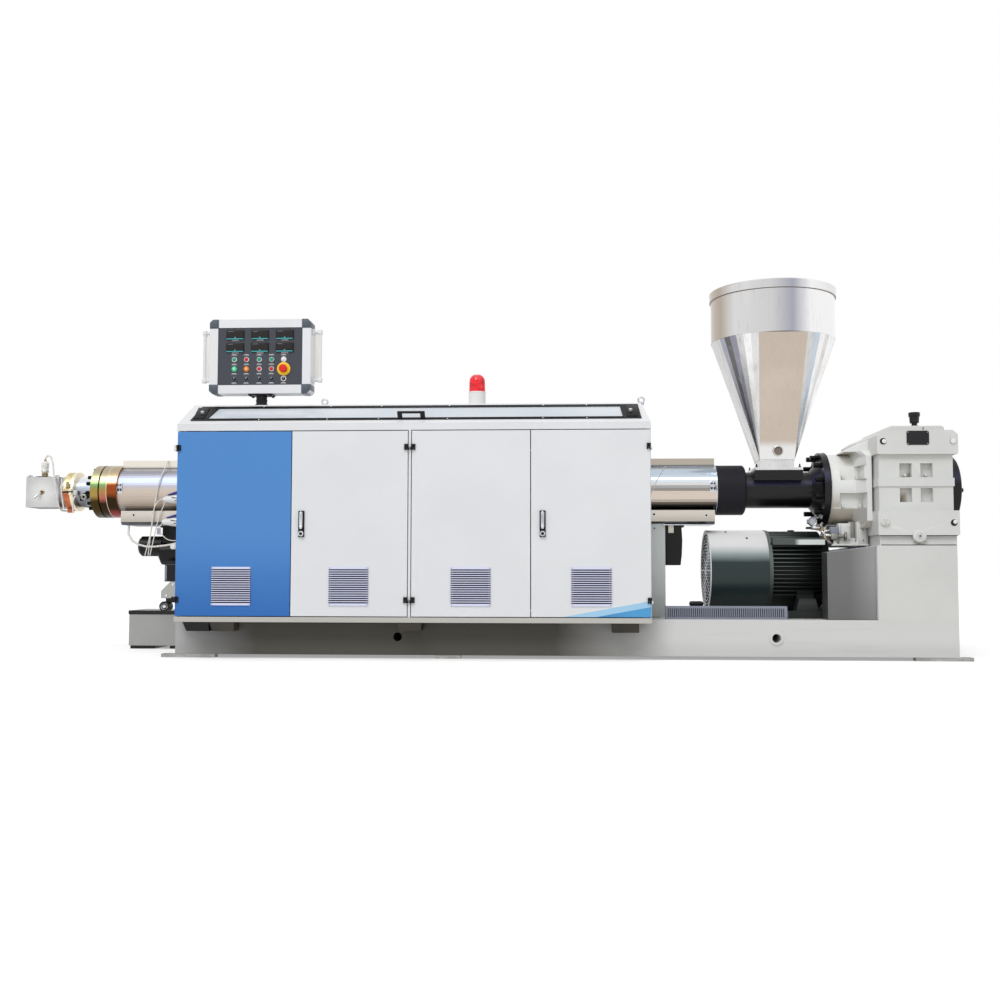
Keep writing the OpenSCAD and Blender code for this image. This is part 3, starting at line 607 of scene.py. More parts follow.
def plain_finishes(paints):
    """Paints, plastics and plain metals of one tint."""
    # gear_white's under tone is painted shade on faces that turn down.
    painted("gear_white", tuple(paints.gear_white), 0.38, 0.03, 0.16, under=seen(0.74, 0.71, 0.65))
    # bell_white is gear white brightened by 1.175 as painted light on the round bell, with its own under tone
    # of painted shade.
    painted("bell_white", tuple(c * 1.175 for c in paints.gear_white), 0.36, 0.03, 0.16,
            under=seen(0.80, 0.765, 0.70))
    painted("cabinet_white", tuple(paints.cabinet_white), 0.32, 0.015, 0.08)
    painted("cabinet_grey", seen(0.80, 0.805, 0.82), 0.36, 0.03, 0.08)
    painted("pedestal_grey", seen(0.82, 0.82, 0.81), 0.34, 0.03, 0.10)
    painted("oil_grey", seen(0.675, 0.675, 0.665), 0.36, 0.05, 0.10)
    painted("bracket_grey", seen(0.70, 0.70, 0.68), 0.40, 0.05, 0.12)
    painted("panel_grey", seen(0.79, 0.815, 0.805), 0.40, 0.03, 0.08)
    painted("frame_black", seen(0.09, 0.09, 0.10), 0.36, 0.10, 0.15, coat=0.1, gloss=0.2)
    painted("bracket_brown", seen(0.25, 0.235, 0.21), 0.40, 0.25, 0.15, coat=0.05, gloss=0.2)
    painted("lid_black", seen(0.08, 0.08, 0.08), 0.22, 0.10, 0.05, coat=0.15, gloss=0.25)
    painted("collar_black", seen(0.125, 0.12, 0.145), 0.50, 0.10, 0.18, coat=0.0, gloss=0.15)
    painted("blower_black", seen(0.075, 0.075, 0.08), 0.34, 0.12, 0.16, coat=0.05, gloss=0.2)
    painted("duct_grey", seen(0.52, 0.54, 0.60), 0.42, 0.04, 0.06)
    moulded("black_plastic", seen(0.06, 0.06, 0.07), 0.34, gloss=0.25)
    moulded("panel_slate", tuple(paints.panel_slate), 0.50, gloss=0.25)
    moulded("corner_slate", seen(0.33, 0.36, 0.40), 0.38, gloss=0.3)
    moulded("meter_black", seen(0.11, 0.10, 0.11), 0.22, 0.02, 0.2)
    moulded("meter_glass", seen(0.17, 0.155, 0.155), 0.12, 0.0, 0.2)
    moulded("white_plastic", seen(0.90, 0.90, 0.90), 0.36)
    moulded("grey_plastic", seen(0.62, 0.63, 0.65), 0.38)
    moulded("blue_plastic", seen(0.13, 0.16, 0.52), 0.34)
    moulded("green_button", seen(0.03, 0.60, 0.42), 0.28, 0.03)
    moulded("mint_lamp", seen(0.30, 0.85, 0.62), 0.24, 0.03)
    moulded("red_button", seen(0.80, 0.05, 0.12), 0.28, 0.03)
    moulded("stop_red", seen(0.88, 0.12, 0.14), 0.32, 0.04)
    moulded("stop_yellow", seen(0.96, 0.78, 0.10), 0.34, 0.04)
    moulded("orange_lamp", seen(0.97, 0.55, 0.10), 0.24, 0.03)
    moulded("teal_strip", tuple(paints.teal), 0.30, 0.02)
    # dark_gap is near-black standing in for the shade inside gaps, slots, sockets and holes: painted shade.
    moulded("dark_gap", seen(0.05, 0.05, 0.06), 0.7)
    moulded("bare_plate", seen(0.12, 0.12, 0.13), 0.30, 0.05, 0.25)
    moulded("handle_beige", seen(0.93, 0.915, 0.88), 0.40, 0.05)
    moulded("sight_brown", seen(0.47, 0.41, 0.38), 0.20, 0.0, 0.5)
    moulded("cream_plate", seen(0.86, 0.84, 0.78), 0.40, 0.05)
    moulded("ceramic_white", seen(0.92, 0.91, 0.89), 0.20, 0.04)
    metal("chrome", seen(0.86, 0.87, 0.89), 0.12, (1, 1, 1), 0.10, 90.0, seen(0.62, 0.64, 0.68))
    metal("black_bolt", seen(0.12, 0.115, 0.12), 0.30, (1, 1, 1), 0.20, 200.0)
    metal("galvanised", seen(0.80, 0.80, 0.80), 0.36, (1, 1, 1), 0.10, 60.0, seen(0.68, 0.69, 0.71))
    painted("panel_alu", seen(0.895, 0.90, 0.915), 0.34, 0.02, 0.03)
    metal("grey_casting", seen(0.62, 0.61, 0.59), 0.34, (1, 1, 1), 0.10, 60.0, seen(0.50, 0.49, 0.46))
    metal("neck_steel", seen(0.86, 0.86, 0.86), 0.28, (1, 1, 0.2), 0.05, 120.0, seen(0.78, 0.78, 0.78))
    metal("bronze", seen(0.66, 0.58, 0.46), 0.30, (1, 1, 1), 0.14, 120.0)
    metal("pad_steel", seen(0.70, 0.70, 0.69), 0.38, (0.2, 1, 1), 0.14, 90.0, seen(0.56, 0.56, 0.56))


def cabinet_finishes(paints):
    """The cabinet's shell, its special doors and its vents."""
    # The blue door fades from a lighter top to a deeper foot.
    make = Finish("cabinet_blue", Coat_Weight=0.1, Coat_Roughness=0.1, Specular_IOR_Level=0.3)
    height = make.axes()[2]
    cloud = make.grain(1.7, 3.0)
    shade = make.blend(tuple(paints.blue_foot), tuple(paints.blue_top),
                       (height + (cloud - 0.5) * 0.12).rise(0.10, 0.80))
    make.feed(Base_Color=shade, Roughness=0.30 + cloud * 0.08,
              Normal=make.bump(make.grain(420.0, 2.0), 0.08, 0.0004))

    # Each vent slat carries a painted shadow on its lower part, where it turns in over the slot.
    make = Finish("vent_lilac", Specular_IOR_Level=0.35)
    z = make.axes()[2]
    count = (z - 0.317) * (16 / 0.200)
    part = make.node("ShaderNodeMath", {"operation": "FRACT"}, {0: count})
    inside = (z - 0.317).above(0.0) * (z - 0.517).below(0.0)
    shadow = (abs(part - 0.5) - 0.30).rise(0.02, -0.02) * inside
    shade = make.blend(tuple(paints.vent_lilac), seen(0.15, 0.15, 0.22), shadow)
    make.feed(Base_Color=shade, Roughness=0.40 + shadow * 0.1)

    # The shell is white down to its sill, which is a warmer grey.
    make = Finish("cabinet_shell", Coat_Weight=0.15, Coat_Roughness=0.12)
    z = make.axes()[2]
    cloud = make.grain(2.3, 4.0)
    white = tuple(paints.cabinet_white)
    shade = make.blend(white, tuple(c * 0.967 for c in white), cloud.rise(0.35, 0.7))
    shade = make.blend(shade, seen(0.735, 0.725, 0.70), (z - 0.245).rise(0.001, -0.001))
    make.feed(Base_Color=shade, Roughness=0.32 + cloud * 0.08,
              Normal=make.bump(make.grain(420.0, 2.0), 0.08, 0.0004))

    # A white door with a plain straight two-tone corner.
    make = Finish("corner_door", Coat_Weight=0.3, Coat_Roughness=0.1)
    x, _, z = make.axes()
    line = (x - 0.46) * 0.185 + 0.246
    deep = (line - 0.034 - z).rise(-0.0015, 0.0015)
    pale = (line - z).rise(-0.0015, 0.0015)
    white = tuple(paints.cabinet_white)
    cloud = make.grain(2.3, 4.0)
    shade = make.blend(white, tuple(c * 0.967 for c in white), cloud.rise(0.35, 0.7))
    shade = make.blend(shade, seen(0.62, 0.80, 0.92), pale)
    shade = make.blend(shade, make.blend(seen(0.17, 0.45, 0.72), seen(0.26, 0.60, 0.82),
                                         (x - 0.6).rise(-0.1, 0.3)), deep)
    make.feed(Base_Color=shade, Roughness=0.32 + cloud * 0.08,
              Normal=make.bump(make.grain(420.0, 2.0), 0.08, 0.0004))


def base_finishes(paints):
    """The base, the guard beside the motor and the black castings."""
    # The base carries painted shade, dark under the cabinet and light at the gearbox, with smudged streaks of
    # dirt.
    make = Finish("base_paint", Coat_Weight=0.05, Coat_Roughness=0.15, Specular_IOR_Level=0.25)
    x, _, z = make.axes()
    wobble = make.grain(1.1, 5.0, stretch=(0.5, 1.0, 2.0))
    dark, light = tuple(paints.base_painted_shade), tuple(paints.base_light)
    stops = [(0.0, seen(0.70, 0.70, 0.70)), (0.10, dark), (0.50, dark), (0.65, light)]
    shade = make.ramp((x + 1.8) / 4.5 + (wobble - 0.5) * 0.05, stops)
    streak = make.grain(26.0, 6.0, stretch=(0.06, 1.0, 1.0))
    shade = make.blend(shade, seen(0.30, 0.28, 0.25), streak.rise(0.52, 0.85) * 0.14)
    shade = make.blend(shade, seen(0.50, 0.50, 0.48), (0.09 - z).rise(-0.04, 0.05) * 0.15)
    shade = make.blend(shade, seen(0.82, 0.82, 0.81), x.above(2.2445) * (z - 0.12).rise(0.0, 0.108))
    make.feed(Base_Color=shade, Roughness=0.34 + wobble * 0.16,
              Normal=make.bump(make.grain(300.0, 3.0), 0.14, 0.0005))

    # The brushed guard beside the motor turns lighter towards the pedestal.
    make = Finish("guard_steel", Metallic=0.8)
    x, _, z = make.axes()
    line = make.grain(150.0, 3.0, stretch=(1.0, 1.0, 0.08))
    cloud = make.grain(5.0, 3.0)
    shade = make.ramp((x - 1.968) / 0.278 + (cloud - 0.5) * 0.06, [
        (0.45, seen(0.45, 0.45, 0.45)), (1.0, seen(0.60, 0.60, 0.60))])
    shade = make.blend(shade, seen(0.36, 0.37, 0.36), (0.50 - z).rise(-0.05, 0.3) * 0.45)
    shade = make.blend(shade, seen(0.58, 0.58, 0.57), line.rise(0.55, 0.9) * 0.2)
    make.feed(Base_Color=shade, Roughness=0.36 + line * 0.1, Normal=make.bump(line, 0.05, 0.0004))

    # Gloss black castings: a painted reflection gives a cool band where the surface turns up, and painted
    # shade darkens faces that turn down.
    make = Finish("cast_black", Coat_Weight=0.15, Coat_Roughness=0.12, Specular_IOR_Level=0.2)
    up = around_x(make)
    cloud = make.grain(5.0, 4.0)
    black = tuple(paints.cast_black)
    shade = make.ramp(up + (cloud - 0.5) * 0.02, [
        (0.0, seen(0.05, 0.05, 0.05)), (0.55, black), (0.65, seen(0.20, 0.20, 0.30)), (0.80, black)])
    make.feed(Base_Color=shade, Roughness=0.26 + cloud * 0.14,
              Normal=make.bump(make.grain(260.0, 3.0), 0.16, 0.0005))


def motor_finishes(paints):
    """The motor's fins, its cowl and the strip above the fins."""
    # Motor paint: dark sides, with a painted highlight where a fin's edge faces out, stronger on the upper
    # fins.
    make = Finish("motor_green", Coat_Weight=0.05, Coat_Roughness=0.2, Specular_IOR_Level=0.25)
    _, y, z = make.axes(centre=(0.0, 0.0, MOTOR_Z / 1000))
    _, ny, nz = make.facing()
    reach = make.node("ShaderNodeMath", {"operation": "SQRT"}, {0: y * y + z * z})
    outward = ((ny * y + nz * z) / reach).rise(0.80, 0.97) * reach.rise(0.215, 0.232)
    lit = outward * (z + 0.02).rise(-0.22, 0.18)
    shade = make.blend(tuple(paints.motor_green), seen(0.46, 0.50, 0.49), lit * 0.7)
    # Painted shade between the fins, towards their roots.
    shade = make.blend(shade, seen(0.03, 0.04, 0.035), (0.215 - reach).rise(-0.01, 0.01) * 0.45)
    make.feed(Base_Color=shade, Roughness=0.40 + make.grain(12.0, 4.0) * 0.16,
              Normal=make.bump(make.grain(300.0, 3.0), 0.2, 0.0005))

    # Motor cowl: painted light and shade, pale on top and green-grey where it turns under.
    make = Finish("cowl_paint", Coat_Weight=0.1, Coat_Roughness=0.1, Specular_IOR_Level=0.25)
    cloud = make.grain(3.0, 3.0)
    shade = make.ramp(around_x(make) + (cloud - 0.5) * 0.03, toned(
        (0.0, "pine"), (0.60, "pine"), (0.70, "mist"), (0.80, "pearl"), (1.0, "bright")))
    make.feed(Base_Color=shade, Roughness=0.28 + cloud * 0.1,
              Normal=make.bump(make.grain(400.0, 2.0), 0.08, 0.0004))

    # Cowl end: white sheet with rows of punched slots and a rim.
    make = Finish("punched_sheet", Coat_Weight=0.05, Specular_IOR_Level=0.3)
    _, y, z = make.axes(centre=(0.0, 0.0, MOTOR_Z / 1000))
    reach = make.node("ShaderNodeMath", {"operation": "SQRT"}, {0: y * y + z * z})
    row = (z * (2 * math.pi / 0.036)).sine()
    slot = (y * (2 * math.pi / 0.090) + row.above(0.0) * math.pi).sine()
    hole = abs(row).rise(0.25, 0.45) * (slot + 0.35).rise(-0.1, 0.15)
    hole = hole * reach.below(0.222) * reach.above(0.028)
    depth = make.blend(seen(0.06, 0.06, 0.09), seen(0.16, 0.20, 0.42),
                       make.grain(26.0, 2.0).rise(0.5, 0.62))
    shade = make.blend(seen(0.92, 0.93, 0.95), depth, hole)
    make.feed(Base_Color=shade, Roughness=0.42 + hole * 0.3,
              Normal=make.bump(1.0 - hole, 0.5, 0.001))

    # The strip above the fins, lit at both ends.
    make = Finish("strip_grey", Specular_IOR_Level=0.3)
    x, _, z = make.axes()
    grain = make.grain(30.0, 3.0)
    lit = (x - 1.84).rise(-0.02, 0.02) * (z - 0.692).rise(0.001, -0.001)
    lit = lit.larger((x - 1.69).below(0.0))
    shade = make.blend(seen(0.30, 0.34, 0.33), seen(0.84, 0.87, 0.855), lit)
    make.feed(Base_Color=shade, Roughness=0.34 + grain * 0.1)


def polished_finishes():
    """Polished steel of the barrel cover, hopper drum, lid and folded cone, banded with painted reflections.
    """
    # The cover's bands are painted reflections that follow the turn of its surface, different at the die end
    # and the feed end; the trough and ridge take their own tones, with painted shade where the trough turns
    # down.
    make = Finish("cover_steel", Metallic=1.0)
    x, _, z = make.axes()
    up = around_x(make)
    wave = (make.grain(3.0, 2.0, stretch=(0.15, 1.0, 1.0)) - 0.5) * 0.018
    die_end = make.ramp(up + wave, toned(
        (0.0, "shadow"), (0.10, "slate"), (0.25, "sand"), (0.50, "floor"), (0.60, "ash"),
        (0.70, "dusk"), (0.80, "ash"), (1.0, "slate")))
    feed_end = make.ramp(up + wave, toned(
        (0.0, "shadow"), (0.20, "shadow"), (0.30, "floor"), (0.45, "floor"), (0.50, "slate"),
        (0.60, "pearl"), (0.70, "sky"), (0.95, "sky"), (1.0, "slate")))
    shade = make.blend(die_end, feed_end, x.rise(-1.5, 0.8))
    trough = (0.8735 - z).rise(-0.0005, 0.0005)
    flat = make.blend(seen(0.71, 0.685, 0.65), seen(0.81, 0.785, 0.75), (z - 0.80).rise(0.0, 0.06))
    flat = make.blend(flat, seen(0.25, 0.27, 0.32), make.facing()[2].rise(-0.4, -0.8))
    ridge = (z - 1.1535).rise(-0.0005, 0.0005)
    strip = make.blend(seen(0.88, 0.86, 0.82), seen(0.71, 0.675, 0.63), x.rise(-1.5, 0.8))
    shade = make.blend(make.blend(shade, flat, trough), strip, ridge)
    line = make.grain(30.0, 4.0, stretch=(0.15, 1.0, 1.0))
    shade = make.blend(shade, seen(0.55, 0.54, 0.53), line.rise(0.56, 0.82) * 0.12)
    make.feed(Base_Color=shade, Roughness=0.15 + line * 0.08 + x.rise(-1.5, -1.75) * 0.22,
              Normal=make.bump(line, 0.03, 0.0004))
    make = Finish("drum_steel", Metallic=1.0)
    mirrored(toward_hopper_front(make), (
        (0.0, "silver"), (0.35, "sand"), (0.40, "pearl"), (0.50, "silver"), (0.55, "ash"),
        (0.60, "bright"), (0.75, "bright"), (0.85, "ash")), make)
    make = Finish("lid_steel", Metallic=1.0)
    mirrored(toward_hopper_front(make), (
        (0.0, "silver"), (0.35, "sand"), (0.40, "pearl"), (0.50, "silver"), (0.55, "ash"),
        (0.60, "bright"), (0.80, "silver")), make)
    make = Finish("cone_steel", Metallic=1.0)
    z = make.axes()[2]
    shade = make.ramp(toward_hopper_front(make), cone_folds(), "CONSTANT")
    streak = make.grain(38.0, 4.0, stretch=(1.0, 1.0, 0.07))
    side = toward_hopper_front(make)
    folded = 1.0 - side.above(FLAT_FROM) * side.below(FLAT_TO)
    shade = make.blend(shade, seen(0.46, 0.46, 0.48), streak.rise(0.48, 0.75) * (0.05 + folded * 0.22))
    shade = make.blend(shade, seen(0.92, 0.91, 0.90), streak.rise(0.45, 0.2) * folded * 0.4)
    shade = make.blend(shade, seen(0.83, 0.78, 0.72), make.grain(2.2, 3.0).rise(0.5, 0.75) * 0.3)
    # Painted reflection: the front flat turns near white towards the neck.
    foot = (1.262 - z).rise(-0.035, 0.02) * (1.0 - folded)
    shade = make.blend(shade, seen(0.89, 0.89, 0.89), foot * 0.9)
    make.feed(Base_Color=shade, Roughness=0.24 + streak * 0.08,
              Normal=make.bump(streak, 0.03, 0.0004))


def die_end_finishes(paints):
    """Platings and ground steel of the flanges, retainer, clamp, die block and adapter."""
    # Passivated zinc: the plating's own rainbow tints, set in bands by the way the surface turns as painted
    # reflection, dark below as painted shade.
    make = Finish("flange_zinc", Metallic=1.0)
    x = make.axes()[0]
    up = around_x(make) + (make.grain(9.0, 3.0, stretch=(0.3, 1, 1)) - 0.5) * 0.05
    front = make.ramp(up, toned(
        (0.0, "olive"), (0.30, "olive"), (0.40, "gold"), (0.50, "gold"), (0.60, "green"),
        (0.70, "lime"), (0.85, "straw")))
    back = make.ramp(up, toned(
        (0.0, "umber"), (0.25, "umber"), (0.35, "rose"), (0.50, "gold"), (0.60, "green"),
        (0.70, "straw")))
    shade = make.blend(front, back, (x + 2.4013).rise(-0.0005, 0.0005))
    seam = abs(x + 2.400).below(0.0042)
    shade = make.blend(shade, seen(0.09, 0.04, 0.04), seam)
    # A painted highlight along the flange's edge by the retainer.
    edge = (x + 2.3525).rise(-0.001, 0.001)
    shade = make.blend(shade, seen(0.93, 0.90, 0.78), edge * 0.8)
    make.feed(Base_Color=shade, Roughness=0.26 + make.grain(60.0, 4.0) * 0.14 + seam * 0.4,
              Normal=make.bump(make.grain(180.0, 3.0, stretch=(0.1, 1, 1)), 0.05, 0.0004))
    # Copper retainer: painted reflection bands by the way its surface turns, dark crimson and umber below and
    # cream highlights above.
    make = Finish("retainer_copper", Metallic=1.0)
    up = around_x(make) + (make.grain(14.0, 4.0, stretch=(0.4, 1, 1)) - 0.5) * 0.09
    shade = make.ramp(up, toned(
        (0.0, "crimson"), (0.10, "crimson"), (0.15, "umber"), (0.35, "umber"), (0.45, "copper"),
        (0.60, "copper"), (0.70, "cream"), (0.90, "straw")))
    make.feed(Base_Color=shade, Roughness=0.20 + make.grain(60.0, 4.0) * 0.12)

    # Heater clamp: gold zinc above its split, copper below, cream flank.
    make = Finish("clamp_zinc", Metallic=0.9)
    x, _, z = make.axes()
    cloud = make.grain(22.0, 4.0)
    gold = make.blend(tuple(paints.zinc_gold), seen(0.88, 0.84, 0.68), cloud.rise(0.4, 0.7))
    copper = make.blend(tuple(paints.copper), seen(0.56, 0.30, 0.18), cloud.rise(0.45, 0.7))
    shade = make.blend(copper, gold, (z - 0.992).rise(-0.001, 0.001))
    shade = make.blend(shade, seen(0.93, 0.89, 0.80), (x + 2.601).rise(-0.002, 0.002))
    make.feed(Base_Color=shade, Roughness=0.30 + cloud * 0.14,
              Normal=make.bump(make.grain(150.0, 3.0), 0.08, 0.0005))

    # Ground steel of the die block, with painted shade on faces that turn down, and the blue-white polish of
    # the adapter as painted reflection bands, dark below.
    make = Finish("die_steel", Metallic=1.0)
    x, _, z = make.axes(centre=(-2.783, 0.0, 0.99))
    spread = make.node("ShaderNodeMath", {"operation": "SQRT"}, {0: x * x + z * z})
    line = make.grain(200.0, 3.0, stretch=(0.15, 1, 1))
    shade = make.blend(seen(0.85, 0.85, 0.845), seen(0.75, 0.75, 0.75), spread.rise(0.02, 0.12))
    shade = make.blend(shade, seen(0.90, 0.90, 0.90), make.grain(9.0, 3.0).rise(0.5, 0.8) * 0.6)
    # Painted shade on faces that turn down.
    shade = make.blend(shade, seen(0.30, 0.31, 0.32), make.facing()[2].rise(-0.6, -0.95))
    make.feed(Base_Color=shade, Roughness=0.34 + line * 0.14, Normal=make.bump(line, 0.08, 0.0004))
    make = Finish("adapter_steel", Metallic=1.0)
    shade = make.ramp(around_x(make) + (make.grain(12.0, 3.0) - 0.5) * 0.1, toned(
        (0.0, "shadow"), (0.45, "ash"), (0.60, "sky"), (1.0, "bright")))
    make.feed(Base_Color=shade, Roughness=0.16 + make.grain(40.0, 3.0) * 0.1)


def small_finishes(paints):
    """Braided leads, wires, the clear pane and the beacon."""
    make = Finish("braid")
    x, y, z = make.axes()
    weave = ((x + z) * 1300.0).sine() * ((y - z) * 1300.0).sine()
    shade = make.blend(seen(0.93, 0.92, 0.90), seen(0.72, 0.71, 0.69), weave.rise(0.0, 0.6))
    make.feed(Base_Color=shade, Roughness=0.55 + weave * 0.1,
              Normal=make.bump(weave, 0.4, 0.0006))
    make = Finish("wire_white")
    wrap = (make.axes()[2] * 1600.0).sine()
    shade = make.blend(seen(0.93, 0.92, 0.90), seen(0.78, 0.76, 0.73), wrap.rise(0.2, 1.0))
    make.feed(Base_Color=shade, Roughness=0.5 + wrap * 0.05)
    make = Finish("clear_pane", IOR=1.46, Coat_Weight=0.6)
    haze = make.grain(1.6, 3.0, stretch=(0.4, 1, 1))
    shade = make.blend(seen(0.79, 0.825, 0.86), seen(0.88, 0.90, 0.92), haze.rise(0.35, 0.7))
    make.feed(Base_Color=shade, Alpha=0.90 + haze * 0.06, Roughness=0.12 + haze * 0.08)
    # The beacon's lens: painted highlights of pale pink glints and a lighter band at its top, over darker red
    # patches.
    make = Finish("red_lens", IOR=1.45, Coat_Weight=0.6, Coat_Roughness=0.05, Specular_IOR_Level=0.35)
    z = make.axes()[2]
    glint_noise = make.grain(32.0, 3.0)
    shade = make.blend(tuple(paints.beacon_red), seen(0.97, 0.62, 0.62), glint_noise.rise(0.60, 0.72) * 0.8)
    shade = make.blend(shade, seen(0.72, 0.0, 0.08), glint_noise.rise(0.48, 0.36) * 0.6)
    shade = make.blend(shade, seen(0.95, 0.34, 0.36), (z - 1.655).rise(-0.006, 0.012) * 0.8)
    make.feed(Base_Color=shade, Alpha=0.90 + glint_noise * 0.06, Roughness=0.12 + glint_noise * 0.06)
    moulded("lamp_core", seen(0.62, 0.02, 0.08), 0.3, 0.05, 0.3)


class EXTRUDER_OT_finishes(bpy.types.Operator):
    """Mixes every paint, plating and plastic of the machine"""

    bl_idname = "extruder.finishes"
    bl_label = "Mix finishes"

    def execute(self, context):
        paints = context.scene.extruder_colours
        polished_finishes()
        for group in (plain_finishes, cabinet_finishes, base_finishes, motor_finishes,
                      die_end_finishes, small_finishes):
            group(paints)
        return {"FINISHED"}


# Stage


def lamp(name, kind, spot, target, **settings):
    """A lamp at a spot, in metres, aimed at a target."""
    data = bpy.data.lights.new(name, kind)
    for key, value in settings.items():
        setattr(data, key, value)
    made = bpy.data.objects.new(name, data)
    bpy.context.scene.collection.objects.link(made)
    made.location = spot
    made.rotation_euler = (Vector(target) - Vector(spot)).to_track_quat("-Z", "Y").to_euler()
    return made


class EXTRUDER_OT_stage(bpy.types.Operator):
    """Lays the pale floor, hangs the soft lights and sets the camera"""

    bl_idname = "extruder.stage"
    bl_label = "Set stage"

    def execute(self, context):
        light = context.scene.extruder_stage
        make = Finish("studio_floor", Roughness=0.9)
        path = make.tree.nodes.new("ShaderNodeLightPath")
        shown = [Field(make, path.outputs[name]) for name in
                 ("Is Camera Ray", "Is Glossy Ray", "Is Transmission Ray")]
        make.shader.inputs["Base Color"].default_value = (0.80, 0.80, 0.80, 1)
        make.shader.inputs["Emission Color"].default_value = (1, 1, 1, 1)
        make.feed(Emission_Strength=(shown[0] + shown[1] + shown[2]).smaller(1.0) * 0.34)
        bm = bmesh.new()
        bmesh.ops.create_grid(bm, x_segments=2, y_segments=2, size=60.0)
        bmesh.ops.translate(bm, vec=(0, 0, -0.0005), verts=bm.verts)
        mesh = bpy.data.meshes.new("studio_floor")
        bm.to_mesh(mesh)
        bm.free()
        mesh.materials.append(make.material)
        floor = bpy.data.objects.new("studio_floor", mesh)
        context.scene.collection.objects.link(floor)

        world = bpy.data.worlds.new("studio")
        context.scene.world = world
        world.use_nodes = True
        nodes, links = world.node_tree.nodes, world.node_tree.links
        path = nodes.new("ShaderNodeLightPath")
        total = path.outputs["Is Camera Ray"]
        for name in ("Is Glossy Ray", "Is Transmission Ray"):
            add = nodes.new("ShaderNodeMath")
            add.operation = "MAXIMUM"
            links.new(total, add.inputs[0])
            links.new(path.outputs[name], add.inputs[1])
            total = add.outputs[0]
        level = nodes.new("ShaderNodeMapRange")
        links.new(total, level.inputs["Value"])
        level.inputs["To Min"].default_value = light.fill
        level.inputs["To Max"].default_value = 1.0
        links.new(level.outputs[0], nodes["Background"].inputs["Strength"])
        nodes["Background"].inputs["Color"].default_value = (1, 1, 1, 1)

        lamp("key_sun", "SUN", (-2.2, -5.0, 6.0), (0, 0, 0), energy=light.key,
             angle=math.radians(28))
        lamp("softbox", "AREA", (0.2, -2.6, 4.2), (0.2, 0, 1.0), energy=light.softbox,
             shape="RECTANGLE", size=6.5, size_y=0.9)

        yaw, pitch, roll = (math.radians(a) for a in (-3.067, 3.528, 0.071))
        ahead = Vector((math.sin(yaw) * math.cos(pitch), math.cos(yaw) * math.cos(pitch),
                        math.sin(pitch)))
        side = Vector((math.cos(yaw), -math.sin(yaw), 0))
        above = side.cross(ahead)
        right = side * math.cos(roll) + above * math.sin(roll)
        up = -side * math.sin(roll) + above * math.cos(roll)
        camera = bpy.data.objects.new("camera", bpy.data.cameras.new("camera"))
        context.scene.collection.objects.link(camera)
        stand = Matrix((right, up, -ahead)).transposed().to_4x4()
        stand.translation = Vector((0.45095, -7.02993, 0.5097))
        camera.matrix_world = stand
        camera.data.sensor_width = 36
        camera.data.lens = 36 * 1.1388
        context.scene.camera = camera
        context.scene.view_settings.view_transform = "Standard"
        return {"FINISHED"}


# Base, oil unit and cabinet


class EXTRUDER_OT_base(bpy.types.Operator):
    """Paints the welded base and pedestal, and adds their weld lines and cable gland"""

    bl_idname = "extruder.base"
    bl_label = "Dress base"

    def execute(self, context):
        edge = context.scene.extruder_sizes.edge * 1000
        dress("base_frame", "base_paint", edge=edge)
        for side in (-1, 1):
            shape = Shape()
            y = sorted((side * 449.0, side * 450.4))
            shape.block((2247, y[0], 226), (2690, y[1], 232), "pedestal_grey", 0.3, 1)
            shape.piece("pedestal_weld_front" if side < 0 else "pedestal_weld_back")
        # The guard's upward faces take duct grey as painted shade.
        dress("pedestal", "pedestal_grey", "guard_steel", "duct_grey", edge=edge * 0.8,
              choose=lambda spot, n: "pedestal_grey" if spot.x > 2244 else
              "duct_grey" if n.z > 0.9 else "guard_steel")
        # The outriggers are dark as painted shade under the cabinet: black at the die end, brown further on.
        dress("outriggers", "frame_black", "bracket_brown", edge=1.5,
              choose=lambda spot, n: "frame_black" if spot.x < -1560 else "bracket_brown")
        paint("foot_pads", "pad_steel")
        dress("oil_unit", "oil_grey", edge=edge * 0.7)
        dress("oil_unit_lid", "lid_black", edge=2.5)
        paint("cable_duct", "duct_grey")
        shape = Shape()
        for x in (-1500, -900, -200, 500, 1100, 2100):
            for side in (-1, 1):
                shape.block((x, side * 449 - 2, 21), (x + 120, side * 449 + 2, 25), "base_paint", 1.2)
        shape.piece("base_trim")
        shape = Shape()
        shape.turned((1292, -262, 229), (0, 0, 1),
                     [(0, 47), (14, 46), (26, 36), (33, 20), (35, 0)], "black_plastic", 32)
        shape.block((1203, -300, 300), (1283, -230, 330), "black_plastic", 14, 4)
        shape.sweep([(1292, -262, 240), (1330, -258, 262), (1372, -250, 256), (1400, -240, 229)], 9,
                    "black_plastic", 12)
        shape.piece("cable_gland")
        return {"FINISHED"}


